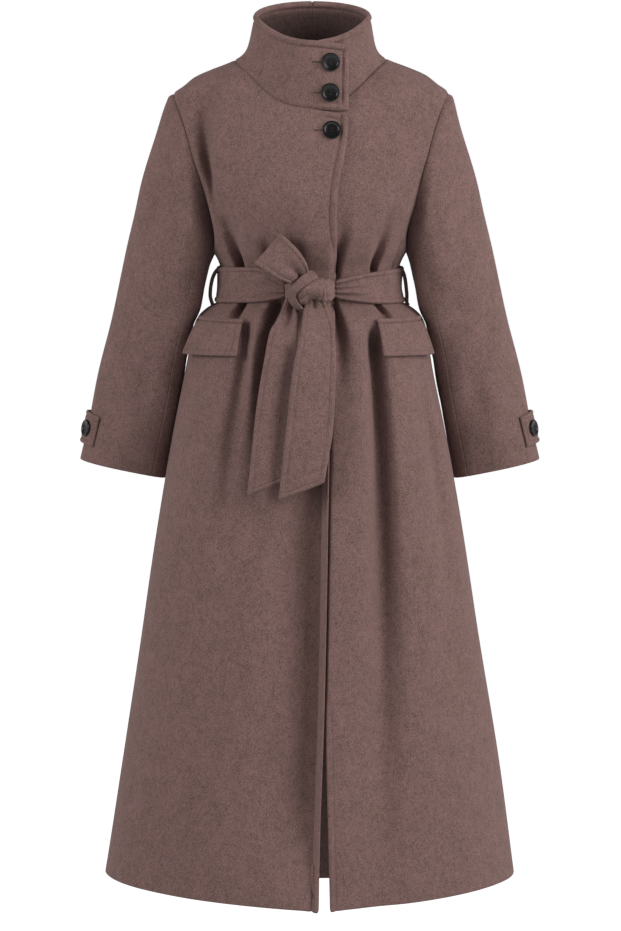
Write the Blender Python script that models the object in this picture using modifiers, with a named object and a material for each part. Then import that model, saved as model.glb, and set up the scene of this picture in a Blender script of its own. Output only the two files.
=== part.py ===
"""A long belted wool coat with a funnel collar, filled out as it is when worn.

Metres, +Z up. The front faces -Y, so the wearer's right side is at -X. The origin is the middle of the
neck, at the height where the shoulder seams meet the collar: there the wearer's shoulders carry the coat.

Every panel lies on one outer surface, found by an angle round the body and a height. The angle is 0 at the
centre front, a quarter turn at the wearer's left side and half a turn at the centre back.
"""

import math
from collections import namedtuple

import bpy
import numpy as np
from mathutils import Matrix

COAT = "belted_coat"
CUTTERS = "cutters"

# Cloth and seams
CLOTH = 0.003
COLLAR_CLOTH = 0.004
BELT_CLOTH = 0.005
TRIM_CLOTH = 0.0035
SEAM = 0.0003
LAYER = 0.0004
BELT_CLEAR = 0.0007
OVERLAP_STEP = 0.0046

# The outer surface of the body, from the neck down, one row for each section
Section = namedtuple("Section", "height half_width front back centre")
SECTIONS = (
    Section(0.030, 0.0800, 0.0220, 0.0500, 0.000),
    Section(0.012, 0.1000, 0.0420, 0.0700, 0.000),
    Section(0.000, 0.1140, 0.0520, 0.0785, 0.000),
    Section(-0.016, 0.1535, 0.0610, 0.0880, 0.000),
    Section(-0.025, 0.1740, 0.0660, 0.0920, 0.000),
    Section(-0.039, 0.1920, 0.0730, 0.0970, 0.000),
    Section(-0.051, 0.2073, 0.0785, 0.1010, 0.000),
    Section(-0.070, 0.2085, 0.0875, 0.1060, 0.000),
    Section(-0.086, 0.2082, 0.0950, 0.1100, 0.000),
    Section(-0.128, 0.2057, 0.1100, 0.1170, 0.000),
    Section(-0.176, 0.1955, 0.1240, 0.1210, 0.000),
    Section(-0.215, 0.1845, 0.1310, 0.1200, 0.000),
    Section(-0.257, 0.1635, 0.1300, 0.1150, 0.000),
    Section(-0.288, 0.1455, 0.1210, 0.1080, 0.000),
    Section(-0.314, 0.1315, 0.1080, 0.1000, 0.000),
    Section(-0.341, 0.1315, 0.1060, 0.0980, 0.000),
    Section(-0.367, 0.1370, 0.1090, 0.1010, 0.000),
    Section(-0.373, 0.1470, 0.1140, 0.1070, -0.001),
    Section(-0.390, 0.1650, 0.1270, 0.1210, -0.004),
    Section(-0.410, 0.1745, 0.1345, 0.1290, -0.006),
    Section(-0.449, 0.1835, 0.1425, 0.1370, -0.010),
    Section(-0.546, 0.2036, 0.1515, 0.1480, -0.012),
    Section(-0.638, 0.2196, 0.1590, 0.1570, -0.012),
    Section(-1.236, 0.3122, 0.2000, 0.2000, -0.010),
    Section(-1.300, 0.3220, 0.2045, 0.2045, -0.010),
)

# Folds, each a trough from its start at the belt or on the skirt to where it fades out. Angles in degrees.
Fold = namedtuple("Fold", "angle end_angle start end rise half_angle depth")
BELT_TOP = -0.314
BELT_BOTTOM = -0.367
UNDER_BELT = 0.02
FOLDS = (
    Fold(-57, -48, BELT_TOP, -0.200, UNDER_BELT, 6.0, 0.010),
    Fold(-12, -18, BELT_TOP, -0.215, UNDER_BELT, 5.0, 0.006),
    Fold(17, 18, BELT_TOP, -0.235, UNDER_BELT, 5.0, 0.007),
    Fold(46, 40, BELT_TOP, -0.225, UNDER_BELT, 5.0, 0.008),
    Fold(66, 52, BELT_TOP, -0.200, UNDER_BELT, 5.5, 0.008),
    Fold(-54, -32, BELT_BOTTOM, -0.500, UNDER_BELT, 5.0, 0.008),
    Fold(-26, -19, BELT_BOTTOM, -0.760, UNDER_BELT, 5.5, 0.011),
    Fold(15, 15, BELT_BOTTOM, -0.470, UNDER_BELT, 5.0, 0.006),
    Fold(37, 28, BELT_BOTTOM, -1.150, UNDER_BELT, 6.0, 0.015),
    Fold(-6, -5, -0.480, -1.230, 0.100, 6.0, 0.008),
    Fold(-36, -27, -0.600, -1.150, 0.150, 6.5, 0.006),
    Fold(62, 58, -0.560, -1.200, 0.150, 7.0, 0.006),
    Fold(124, 132, BELT_TOP, -0.200, UNDER_BELT, 6.0, 0.008),
    Fold(157, 162, BELT_TOP, -0.215, UNDER_BELT, 6.0, 0.009),
    Fold(206, 199, BELT_TOP, -0.205, UNDER_BELT, 6.0, 0.008),
    Fold(238, 230, BELT_TOP, -0.210, UNDER_BELT, 6.0, 0.009),
    Fold(128, 122, BELT_BOTTOM, -0.700, UNDER_BELT, 6.0, 0.009),
    Fold(153, 150, BELT_BOTTOM, -1.000, UNDER_BELT, 6.5, 0.013),
    Fold(183, 181, BELT_BOTTOM, -0.640, UNDER_BELT, 6.0, 0.009),
    Fold(212, 209, BELT_BOTTOM, -1.100, UNDER_BELT, 6.5, 0.014),
    Fold(239, 243, BELT_BOTTOM, -0.720, UNDER_BELT, 6.0, 0.008),
)

# Neck, hem and the rows of the panels, named by their height at the side
NECK_HALF_WIDTH = 0.114
NECK_FRONT = 0.0875
NECK_BACK = 0.0785
NECK_LOWEST = -0.070
HEM_SIDE = -1.236
HEM_FRONT_DROP = 0.034
HEM_BACK_DROP = 0.042
HEM_POWER = 2.0
HEM_RIGHT_FRONT_POWER = 2.8
HEM_LEVEL_FROM = -0.700
NECK_LEVEL_FROM = -0.288
WAIST_SEAM = -0.3405
ROWS_BELOW_ARMHOLE = (
    HEM_SIDE, -1.100, -0.950, -0.810, -0.690, -0.590, -0.505, -0.440, -0.410, -0.390, -0.376,
    BELT_BOTTOM, -0.3520, WAIST_SEAM, -0.3290, BELT_TOP, -0.3065, -0.298, -0.288,
)
ARMHOLE_ROWS = 10
SHOULDER_ROWS = 3
RIGHT_FRONT_COLUMNS = 22
LEFT_FRONT_COLUMNS = 18
BACK_COLUMNS = 28

# Armholes: the seam from the shoulder tip to the underarm, widest half way
SHOULDER_TIP = -0.051
UNDERARM = -0.288
ARMHOLE_FRONT_SWING = 30
ARMHOLE_BACK_SWING = 28
MITRE_LEAST = 0.6

# Front edges: the wearer's right front lies on top
FrontEdge = namedtuple("FrontEdge", "height out")
OVER_EDGE = (
    FrontEdge(-0.070, 0.0568),
    FrontEdge(-0.111, 0.0556),
    FrontEdge(-0.147, 0.0495),
    FrontEdge(-0.170, 0.0445),
    FrontEdge(-0.219, 0.0394),
    FrontEdge(-0.326, 0.0356),
    FrontEdge(-0.372, 0.0335),
    FrontEdge(-0.652, 0.0277),
    FrontEdge(-0.937, 0.0228),
    FrontEdge(-1.102, 0.0177),
    FrontEdge(-1.300, 0.0105),
)
UNDER_EDGE = (FrontEdge(-0.070, 0.0010), FrontEdge(-1.300, 0.0313))
OVERLAP_FROM = -20
OVERLAP_FULL = -3
EDGE_LIFT = 0.004
EDGE_LIFT_WIDTH = 8
NECK_SLIT = 0.005

# Collar: a funnel from the neck seam up to its rim
RIM_HALF_WIDTH = 0.0885
RIM_SHIFT = 0.0015
RIM_CENTRE = -0.012
RIM_DEPTH = 0.074
RIM_SIDE = 0.068
RIM_FRONT_DROP = 0.036
RIM_FRONT_POWER = 1.6
RIM_BACK_RISE = 0.0176
RIM_END_SLOPE = 0.12
RIM_END_OFF = 0.005
FUNNEL_POWER = 2.0
FUNNEL_SIDE_POWER = 2.0
COLLAR_ROWS = 5
COLLAR_ROW_POWER = 1.4

# Sleeves: from the armhole to a slanted oval cuff
CUFF_CENTRE = np.array([0.2833, 0.055, -0.6222])
CUFF_OUTWARD = np.array([0.980, 0.0, 0.200])
FORWARD = np.array([0.0, -1.0, 0.0])
LEVEL = np.array([1.0, 1.0, 0.0])
CUFF_HALF_WIDTH = 0.0675
CUFF_HALF_DEPTH = 0.055
SLEEVE_ROWS = 9
SLEEVE_ROW_POWER = 1.25
FRONT_SLEEVE_SEAM = 126
BACK_SLEEVE_SEAM = 288
Fullness = namedtuple("Fullness", "share outward forward pressed")
FULLNESS = (
    Fullness(0.000, 0.0000, 0.0000, 0.0000),
    Fullness(0.012, 0.0065, 0.0020, 0.0000),
    Fullness(0.100, 0.0090, 0.0080, -0.0010),
    Fullness(0.250, 0.0118, 0.0115, -0.0010),
    Fullness(0.350, 0.0104, 0.0115, 0.0050),
    Fullness(0.500, 0.0084, 0.0100, 0.0055),
    Fullness(0.700, 0.0050, 0.0060, 0.0030),
    Fullness(1.000, 0.0000, 0.0000, 0.0000),
)

# Cuff tabs, on the sleeve from its back seam round to the front
TAB_FROM = -68
TAB_TO = 45
TAB_COLUMNS = 10
TAB_SHARES = (0.871, 0.900, 0.930, 0.959)
TAB_LOOSENESS = 0.0022
CUFF_BUTTON_TURN = 25
CUFF_BUTTON_RADIUS = 0.0127

# Pocket flaps and the welts above them
FLAP_FROM = 35
FLAP_TO = 75
FLAP_TOP = -0.3900
FLAP_BOTTOM = -0.4380
FLAP_OUTER_DROP = 0.004
FLAP_INNER_LIFT = 0.0024
FLAP_OUTER_LIFT = 0.0060
FLAP_COLUMNS = 8
FLAP_ROWS = 3
WELT_HEIGHT = 0.0056

# Belt: the band's edges by angle, from the knot round the back to the knot
BandEdge = namedtuple("BandEdge", "angle top bottom")
BAND = (
    BandEdge(16.5, -0.3275, -0.3530),
    BandEdge(35, -0.3190, -0.3610),
    BandEdge(60, -0.3150, -0.3660),
    BandEdge(90, BELT_TOP, BELT_BOTTOM),
    BandEdge(180, BELT_TOP, BELT_BOTTOM),
    BandEdge(270, BELT_TOP, BELT_BOTTOM),
    BandEdge(325, -0.3080, -0.3605),
    BandEdge(343.5, -0.3295, -0.3515),
)
BAND_COLUMNS = 44
BAND_ROWS = 3
BAND_STEP_FADES_FROM = 20
BAND_STEP_FADES_TO = 45

# The knot: a core between the band's ends, and the wrap that runs round it
CoreRing = namedtuple("CoreRing", "out forward height half_depth half_height")
CORE = (
    CoreRing(-0.0355, 0.1125, -0.3420, 0.0055, 0.0095),
    CoreRing(-0.0280, 0.1180, -0.3420, 0.0080, 0.0110),
    CoreRing(-0.0215, 0.1265, -0.3420, 0.0085, 0.0115),
    CoreRing(-0.0180, 0.1275, -0.3390, 0.0100, 0.0180),
    CoreRing(0.0150, 0.1275, -0.3390, 0.0100, 0.0205),
    CoreRing(0.0185, 0.1275, -0.3400, 0.0100, 0.0200),
    CoreRing(0.0225, 0.1255, -0.3410, 0.0120, 0.0195),
    CoreRing(0.0290, 0.1210, -0.3420, 0.0110, 0.0175),
    CoreRing(0.0360, 0.1125, -0.3405, 0.0055, 0.0115),
)
CORE_SIDES = 12
WRAP_FORWARD = 0.1275
WRAP_HEIGHT = -0.3385
WRAP_HALF_DEPTH = 0.0162
WRAP_HALF_HEIGHT = 0.0285
WRAP_LEFT = -0.0205
WRAP_RIGHT = 0.0178
WRAP_SIDES = 18
WRAP_RINGS = 5
WRAP_CLOTH = 0.0045
WRAP_EDGE_ROLL = 0.0025
WRAP_ROLL_POWER = 3

# The bow loop: a fold of the belt that stands out of the knot towards the wearer's right shoulder
LoopRow = namedtuple("LoopRow", "share off half_width")
LOOP_ROOT = np.array([-0.0217, -0.128, -0.3175])
LOOP_END = np.array([-0.0619, -0.137, -0.2780])
LOOP_ROOT_ACROSS = np.array([0.0, 0.0, 1.0])
LOOP_END_ACROSS = np.array([0.662, 0.0, 0.749])
LOOP_ROWS = (
    LoopRow(0.00, 0.0075, 0.0115),
    LoopRow(0.25, 0.0105, 0.0190),
    LoopRow(0.60, 0.0120, 0.0270),
    LoopRow(0.88, 0.0095, 0.0300),
    LoopRow(0.98, 0.0050, 0.0302),
    LoopRow(1.00, 0.0000, 0.0302),
    LoopRow(0.98, -0.0050, 0.0302),
    LoopRow(0.88, -0.0080, 0.0300),
    LoopRow(0.60, -0.0080, 0.0270),
    LoopRow(0.25, -0.0065, 0.0190),
    LoopRow(0.00, -0.0055, 0.0115),
)
LOOP_COLUMNS = 4

# The belt's two hanging ends: the height and place of each edge, and how far off the front they hang
TailRow = namedtuple("TailRow", "left_height left right_height right off")
FRONT_TAIL = (
    TailRow(-0.3715, -0.0060, -0.3715, 0.0190, 0.0090),
    TailRow(-0.3810, -0.0080, -0.3810, 0.0260, 0.0082),
    TailRow(-0.3940, -0.0103, -0.3940, 0.0322, 0.0078),
    TailRow(-0.4470, -0.0198, -0.4470, 0.0352, 0.0074),
    TailRow(-0.5000, -0.0262, -0.4960, 0.0344, 0.0066),
    TailRow(-0.5526, -0.0318, -0.5430, 0.0322, 0.0066),
    TailRow(-0.6010, -0.0375, -0.5830, 0.0272, 0.0066),
    TailRow(-0.6471, -0.0427, -0.6201, 0.0217, 0.0066),
)
REAR_TAIL = (
    TailRow(-0.3715, -0.0340, -0.3715, -0.0140, 0.0022),
    TailRow(-0.3850, -0.0460, -0.3850, -0.0110, 0.0012),
    TailRow(-0.4005, -0.0563, -0.4005, -0.0100, 0.0005),
    TailRow(-0.4341, -0.0626, -0.4341, -0.0120, 0.0005),
    TailRow(-0.5132, -0.0746, -0.5080, -0.0220, 0.0005),
    TailRow(-0.5780, -0.0820, -0.5650, -0.0280, 0.0005),
    TailRow(-0.6415, -0.0892, -0.6174, -0.0340, 0.0005),
)
TAIL_COLUMNS = 5

# Belt carriers: thin straps at the side seams that stand off round the band
CarrierRow = namedtuple("CarrierRow", "height off")
CARRIER = (
    CarrierRow(-0.3030, 0.0004),
    CarrierRow(-0.3090, 0.0030),
    CarrierRow(-0.3150, 0.0085),
    CarrierRow(-0.3310, 0.0140),
    CarrierRow(-0.3470, 0.0165),
    CarrierRow(-0.3620, 0.0140),
    CarrierRow(-0.3690, 0.0088),
    CarrierRow(-0.3760, 0.0016),
)
CARRIER_CLOTH = 0.004
CARRIER_HALF_WIDTH = 0.0045
CARRIER_SLACK = {"right": 1.0, "left": 0.72}

# Buttons: where the three front ones sit, and their turned profile as shares of the radius
FrontButton = namedtuple("FrontButton", "name out height")
COLLAR_BUTTONS = (FrontButton("button_collar", 0.0312, 0.0005), FrontButton("button_neck", 0.0306, -0.0450))
FRONT_BUTTON = FrontButton("button_front", 0.0329, -0.1011)
FRONT_BUTTON_RADIUS = 0.0140
ProfilePoint = namedtuple("ProfilePoint", "out up")
BUTTON_PROFILE = (
    ProfilePoint(0.00, 0.000),
    ProfilePoint(0.78, 0.000),
    ProfilePoint(1.00, 0.120),
    ProfilePoint(1.00, 0.220),
    ProfilePoint(0.90, 0.320),
    ProfilePoint(0.74, 0.290),
    ProfilePoint(0.62, 0.210),
    ProfilePoint(0.00, 0.190),
)
BUTTON_SIDES = 18
BUTTON_HOLE_OFFSET = 0.19
BUTTON_HOLE_RADIUS = 0.085
BUTTON_HOLE_SIDES = 6
BUTTON_SEAT = 0.0005
BUTTON_MERGE = 1e-5

# Finishes, as linear colours, and the angle past which an edge is shaded sharp
WOOL_COLOUR = (0.166, 0.099, 0.090, 1.0)
WOOL_ROUGHNESS = 0.95
BUTTON_COLOUR = (0.012, 0.011, 0.012, 1.0)
BUTTON_ROUGHNESS = 0.32
SHARP_FROM = math.radians(40)

# How places on the surfaces are found: a step for slopes, a share just inside an edge, and rounds of search
SLOPE_STEP = 1e-4
SLEEVE_INSIDE = 0.01
COLLAR_INSIDE = 0.001
HALVINGS = 40
SEAT_ROUNDS = 20


# Curves and surfaces


def eased(share):
    """A smooth step from 0 to 1 as the share goes from 0 to 1."""
    share = np.clip(share, 0.0, 1.0)
    return share * share * (3.0 - 2.0 * share)


def curve_through(places, values):
    """A smooth curve through the values that never swings past them, as a function of place."""
    order = np.argsort(places)
    xs = np.asarray(places, float)[order]
    ys = np.asarray(values, float)[order]
    gaps = np.diff(xs)
    slopes = np.diff(ys) / gaps
    tangents = np.concatenate([slopes[:1], np.zeros(len(xs) - 2), slopes[-1:]])
    same_way = slopes[:-1] * slopes[1:] > 0
    before = 2.0 * gaps[1:] + gaps[:-1]
    after = gaps[1:] + 2.0 * gaps[:-1]
    safe = np.where(same_way, slopes[:-1], 1.0), np.where(same_way, slopes[1:], 1.0)
    tangents[1:-1] = np.where(same_way, (before + after) / (before / safe[0] + after / safe[1]), 0.0)

    def at(place):
        place = np.clip(place, xs[0], xs[-1])
        span = np.clip(np.searchsorted(xs, place) - 1, 0, len(gaps) - 1)
        gap = gaps[span]
        share = (place - xs[span]) / gap
        rest = 1.0 - share
        return (
            ys[span] * rest * rest * (1.0 + 2.0 * share)
            + ys[span + 1] * share * share * (3.0 - 2.0 * share)
            + gap * share * rest * (tangents[span] * rest - tangents[span + 1] * share)
        )

    return at


def column_curve(rows, place, value):
    """The curve through one column of a table."""
    return curve_through([getattr(row, place) for row in rows], [getattr(row, value) for row in rows])


half_width_at = column_curve(SECTIONS, "height", "half_width")
front_at = column_curve(SECTIONS, "height", "front")
back_at = column_curve(SECTIONS, "height", "back")
centre_at = column_curve(SECTIONS, "height", "centre")
over_edge_at = column_curve(OVER_EDGE, "height", "out")
under_edge_at = column_curve(UNDER_EDGE, "height", "out")
fullness_outward_at = column_curve(FULLNESS, "share", "outward")
fullness_forward_at = column_curve(FULLNESS, "share", "forward")
pressed_at = column_curve(FULLNESS, "share", "pressed")


def normals(surface, along, up):
    """Unit normals of a surface that takes two parameters."""
    across = surface(along + SLOPE_STEP, up) - surface(along - SLOPE_STEP, up)
    rise = surface(along, up + SLOPE_STEP) - surface(along, up - SLOPE_STEP)
    normal = np.cross(across, rise)
    return normal / np.linalg.norm(normal, axis=-1, keepdims=True)


def signed_angle(angle):
    """The same angle between minus and plus half a turn."""
    return (angle + math.pi) % (2.0 * math.pi) - math.pi


def body_point(angle, height):
    """The smooth outer surface, with no folds."""
    angle, height = np.broadcast_arrays(angle, height)
    cosine = np.cos(angle)
    depth = np.where(cosine > 0, front_at(height), back_at(height))
    out = half_width_at(height) * np.sin(angle)
    return np.stack([out, centre_at(height) - depth * cosine, height], axis=-1)


def fold_depth(angle, height):
    """How far the folds draw the surface in."""
    total = 0.0
    for fold in FOLDS:
        share = (height - fold.start) / (fold.end - fold.start)
        before = -share * abs(fold.end - fold.start)
        strength = np.where(share > 0, 1.0 - eased(share), eased(1.0 - before / fold.rise))
        middle = np.radians(fold.angle + (fold.end_angle - fold.angle) * np.clip(share, 0.0, 1.0))
        across = signed_angle(angle - middle) / math.radians(fold.half_angle)
        total = total + fold.depth * strength * np.exp(-across * across)
    return total


def coat_point(angle, height):
    """The outer surface with its folds."""
    angle, height = np.broadcast_arrays(angle, height)
    inward = fold_depth(angle, height)[..., None] * normals(body_point, angle, height)
    return body_point(angle, height) - inward


def overlap_step(angle):
    """How far the right front stands out where it lies on the left one."""
    degrees = np.degrees(signed_angle(angle))
    step = OVERLAP_STEP * eased((degrees - OVERLAP_FROM) / (OVERLAP_FULL - OVERLAP_FROM))
    return np.where(np.cos(angle) > 0, step, 0.0)


def over_point(angle, height):
    """The right front's outer surface: it steps up over the left one and its edge lifts on the skirt."""
    angle, height = np.broadcast_arrays(angle, height)
    edge = np.arcsin(over_edge_at(height) / half_width_at(height))
    near_edge = eased(1.0 - np.degrees(edge - signed_angle(angle)) / EDGE_LIFT_WIDTH)
    on_skirt = eased((BELT_BOTTOM - height) / -BELT_BOTTOM)
    out = overlap_step(angle) + EDGE_LIFT * near_edge * on_skirt
    return coat_point(angle, height) + out[..., None] * normals(coat_point, angle, height)


def envelope_point(angle, height):
    """What lies on the coat rests on this: the surface with no folds, over the right front's step."""
    angle, height = np.broadcast_arrays(angle, height)
    degrees = np.degrees(signed_angle(angle))
    fade = 1.0 - eased((degrees - BAND_STEP_FADES_FROM) / (BAND_STEP_FADES_TO - BAND_STEP_FADES_FROM))
    out = overlap_step(angle) * fade
    return body_point(angle, height) + out[..., None] * normals(body_point, angle, height)


def angle_at(out, height):
    """The angle at which the front of the surface lies this far out to the side."""
    return np.arcsin(out / half_width_at(height))


def neck_height(angle):
    """The height where the neck's oval, seen from above, crosses the surface at this angle."""
    angle = np.asarray(angle, float)
    low = np.full(angle.shape, NECK_LOWEST)
    high = np.full(angle.shape, SECTIONS[0].height)
    across, along = np.sin(angle) / NECK_HALF_WIDTH, np.cos(angle)
    along = along / np.where(along > 0, NECK_FRONT, NECK_BACK)
    for _ in range(HALVINGS):
        middle = 0.5 * (low + high)
        depth = np.where(along > 0, front_at(middle), back_at(middle))
        outside = (half_width_at(middle) * across) ** 2 + (depth * along) ** 2 > 1.0
        low = np.where(outside, middle, low)
        high = np.where(outside, high, middle)
    return 0.5 * (low + high)


# Solids


def add_solid(name, points, faces, material):
    """A mesh object from its points and faces, turned to face out."""
    points = np.asarray(points, float)
    corners = [(points[f[0]], points[f[i]], points[f[i + 1]]) for f in faces for i in range(1, len(f) - 1)]
    volume = sum(np.dot(a, np.cross(b, c)) for a, b, c in corners)
    facing = faces if volume > 0 else [tuple(reversed(face)) for face in faces]
    mesh = bpy.data.meshes.new(name)
    mesh.from_pydata(points.tolist(), [], facing)
    mesh.shade_smooth()
    mesh.set_sharp_from_angle(angle=SHARP_FROM)
    return add_piece(name, mesh, material)


def add_piece(name, mesh, material):
    """An object of the coat with this mesh."""
    mesh.materials.append(material)
    piece = bpy.data.objects.new(name, mesh)
    bpy.data.collections[COAT].objects.link(piece)
    piece.parent = bpy.data.objects[COAT]
    return piece


def add_wall(name, outer, inner, material, closed=False):
    """A cloth wall between two grids of points. A closed one runs all the way round along its columns."""
    rows, columns = outer.shape[:2]
    spans = columns if closed else columns - 1
    inside = rows * columns
    faces = []
    for row in range(rows - 1):
        for column in range(spans):
            following = (column + 1) % columns
            quad = [row * columns + column, row * columns + following]
            quad += [quad[1] + columns, quad[0] + columns]
            faces.append(tuple(quad))
            faces.append(tuple(inside + corner for corner in reversed(quad)))
    points = np.concatenate([outer.reshape(-1, 3), inner.reshape(-1, 3)])

    def close(start, end):
        """The edge's face between two outer points, split the same way on both sides of a seam."""
        if points[start, 2] < points[end, 2]:
            faces.extend([(start, inside + start, inside + end), (start, inside + end, end)])
        else:
            faces.extend([(end, start, inside + start), (end, inside + start, inside + end)])

    last = (rows - 1) * columns
    for column in range(spans):
        following = (column + 1) % columns
        close(column, following)
        close(last + following, last + column)
    if not closed:
        for row in range(rows - 1):
            start, end = row * columns, (row + 1) * columns
            close(end, start)
            close(start + columns - 1, end + columns - 1)
    return add_solid(name, points, faces, material)


def add_strap(name, middle, thickness, material):
    """A strap whose middle surface is a grid of points."""
    across = np.gradient(middle, axis=1)
    along = np.gradient(middle, axis=0)
    normal = np.cross(across, along)
    half = 0.5 * thickness * normal / np.linalg.norm(normal, axis=-1, keepdims=True)
    return add_wall(name, middle + half, middle - half, material)


def draw_in(grids, edge, distance):
    """Moves one edge of each grid in along the surface: 'top', 'bottom', 'first' or 'last'."""
    index = {"top": (-1, -2, 0), "bottom": (0, 1, 0), "last": (-1, -2, 1), "first": (0, 1, 1)}
    border, neighbour, axis = index[edge]
    for grid in grids:
        lines = grid if axis == 0 else grid.swapaxes(0, 1)
        way = lines[neighbour] - lines[border]
        lines[border] += distance * way / np.linalg.norm(way, axis=-1, keepdims=True)


# Armholes and sleeves


def armhole_angle(turn):
    """The angle of the armhole seam, for the wearer's left side; the turn is 0 at the shoulder tip."""
    swing = np.where(np.sin(turn) > 0, ARMHOLE_FRONT_SWING, ARMHOLE_BACK_SWING)
    return np.radians(90.0 - swing * np.sin(turn))


def armhole_height(turn):
    """The height of the armhole seam at a turn."""
    return SHOULDER_TIP + (UNDERARM - SHOULDER_TIP) * 0.5 * (1.0 - np.cos(turn))


def mirrored(points, side):
    """The same points for the other side of the body when side is -1."""
    return points * np.array([side, 1.0, 1.0])


def sleeve_surface(side):
    """A sleeve's outer surface, laid out on the wearer's left, by turn and share of its length."""

    def at(turn, share):
        turn, share = np.broadcast_arrays(turn, share)
        seam = mirrored(coat_point(side * armhole_angle(turn), armhole_height(turn)), side)
        outward, forward = np.cos(turn)[..., None], np.sin(turn)[..., None]
        cuff = CUFF_CENTRE + CUFF_HALF_WIDTH * outward * CUFF_OUTWARD + CUFF_HALF_DEPTH * forward * FORWARD
        bulge = (0.5 + 0.5 * outward) * fullness_outward_at(share)[..., None] * CUFF_OUTWARD
        bulge = bulge + (0.5 - 0.5 * outward) * pressed_at(share)[..., None] * CUFF_OUTWARD
        bulge = bulge + forward * fullness_forward_at(share)[..., None] * FORWARD
        share = share[..., None]
        return seam * (1.0 - share) + cuff * share + bulge

    return at


def armhole_mitre(side, turn):
    """The way the wall runs in at the armhole seam, shared by body and sleeve, with its length."""
    body = normals(coat_point, side * armhole_angle(turn), armhole_height(turn))
    body = mirrored(body, side)
    sleeve = normals(sleeve_surface(side), turn, np.full_like(turn, SLEEVE_INSIDE))
    middle = body + sleeve
    middle = middle / np.linalg.norm(middle, axis=-1, keepdims=True)
    reach = np.maximum(np.sum(middle * body, axis=-1, keepdims=True), MITRE_LEAST)
    return middle * CLOTH / reach


def add_sleeve_piece(name, side, first_turn, last_turn, material):
    """The top or the under sleeve, between two seams."""
    spacing = math.pi / ARMHOLE_ROWS
    columns = round((last_turn - first_turn) / spacing)
    turns = np.linspace(first_turn, last_turn, columns + 1)
    shares = np.linspace(0.0, 1.0, SLEEVE_ROWS + 1) ** SLEEVE_ROW_POWER
    turn, share = np.meshgrid(turns, shares)
    surface = sleeve_surface(side)
    outer = surface(turn, share)
    inner = outer - CLOTH * normals(surface, turn, np.clip(share, SLEEVE_INSIDE, 1.0 - SLEEVE_INSIDE))
    inner[0] = outer[0] - armhole_mitre(side, turns)
    for edge in ("bottom", "first", "last"):
        draw_in((outer, inner), edge, SEAM / 2)
    add_wall(name, mirrored(outer, side), mirrored(inner, side), material)


def add_sleeves(material):
    """Both sleeves, each of a top and an under sleeve."""
    front_seam = math.radians(FRONT_SLEEVE_SEAM)
    back_seam = math.radians(BACK_SLEEVE_SEAM)
    for side, word in ((-1, "right"), (1, "left")):
        add_sleeve_piece(f"sleeve_{word}_top", side, back_seam - 2 * math.pi, front_seam, material)
        add_sleeve_piece(f"sleeve_{word}_under", side, front_seam, back_seam, material)


# Body panels


def panel_rows():
    """The height of each row at the side, and its turn round the armhole, 0 away from it."""
    turns = np.linspace(math.pi, 0.0, ARMHOLE_ROWS + 1)
    shoulder = np.linspace(SHOULDER_TIP, 0.0, SHOULDER_ROWS + 1)[1:]
    levels = np.concatenate([ROWS_BELOW_ARMHOLE[:-1], armhole_height(turns), shoulder])
    row_turns = np.zeros(len(levels))
    first = len(ROWS_BELOW_ARMHOLE) - 1
    row_turns[first : first + len(turns)] = turns
    return levels, row_turns, slice(first, first + len(turns))


def row_heights(levels, hem_angles, neck_heights, hem_power=HEM_POWER):
    """The height of every point of a panel: level at mid skirt, curved to the hem and to the neck."""
    cosine = np.cos(hem_angles)
    drop = np.where(cosine > 0, HEM_FRONT_DROP, HEM_BACK_DROP) * np.abs(cosine) ** hem_power
    to_hem = eased((HEM_LEVEL_FROM - levels) / (HEM_LEVEL_FROM - HEM_SIDE))
    to_neck = eased((levels - NECK_LEVEL_FROM) / -NECK_LEVEL_FROM)
    return levels[:, None] - to_hem[:, None] * drop + to_neck[:, None] * neck_heights


def front_top(side, angle, edge_angle):
    """The height of a front's top edge; the right one runs on flat past the centre, with a slit above it."""
    past_centre = np.clip(angle / edge_angle, 0.0, 1.0) if side < 0 else np.zeros_like(angle)
    on_neck = neck_height(np.where(past_centre > 0, 0.0, angle))
    return on_neck - NECK_SLIT * np.sin(math.pi * past_centre)


def top_edge_angle(edge_at):
    """The angle of a front edge at the neck."""
    height = neck_height(0.0)
    return angle_at(edge_at(height), height)


def front_angles(side, columns):
    """The angles of a front's top row, from its edge to the shoulder seam, on the wearer's left."""
    edge_at = over_edge_at if side < 0 else under_edge_at
    return np.linspace(side * top_edge_angle(edge_at), math.pi / 2, columns + 1)


def add_panel(word, outer, inner, material):
    """A panel in two pieces, bodice and skirt, that meet at the waist seam under the belt."""
    seam = ROWS_BELOW_ARMHOLE.index(WAIST_SEAM)
    for part, rows, edge in (("bodice", slice(seam, None), "bottom"), ("skirt", slice(seam + 1), "top")):
        grids = outer[rows].copy(), inner[rows].copy()
        draw_in(grids, edge, SEAM / 2)
        add_wall(f"{part}_{word}", *grids, material)


def add_front(word, side, columns, material):
    """A front, from its front edge to the side seam, the armhole and the shoulder seam."""
    levels, turns, at_armhole = panel_rows()
    top_angles = front_angles(side, columns)
    hem_power = HEM_RIGHT_FRONT_POWER if side < 0 else HEM_POWER
    heights = row_heights(levels, top_angles, front_top(side, top_angles, top_angles[0]), hem_power)
    edge_at = over_edge_at if side < 0 else under_edge_at
    edges = side * angle_at(edge_at(heights[:, 0]), heights[:, 0])
    share = np.linspace(0.0, 1.0, columns + 1)
    angles = edges[:, None] + share * (armhole_angle(turns) - edges)[:, None]
    surface = over_point if side < 0 else coat_point
    outer = surface(side * angles, heights)
    inner = outer - CLOTH * normals(surface, side * angles, heights)
    inner[at_armhole, -1] = outer[at_armhole, -1] - mirrored(armhole_mitre(side, turns[at_armhole]), side)
    draw_in((outer, inner), "last", SEAM / 2)
    draw_in((outer, inner), "top", SEAM / 2)
    add_panel(word, outer, inner, material)


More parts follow.
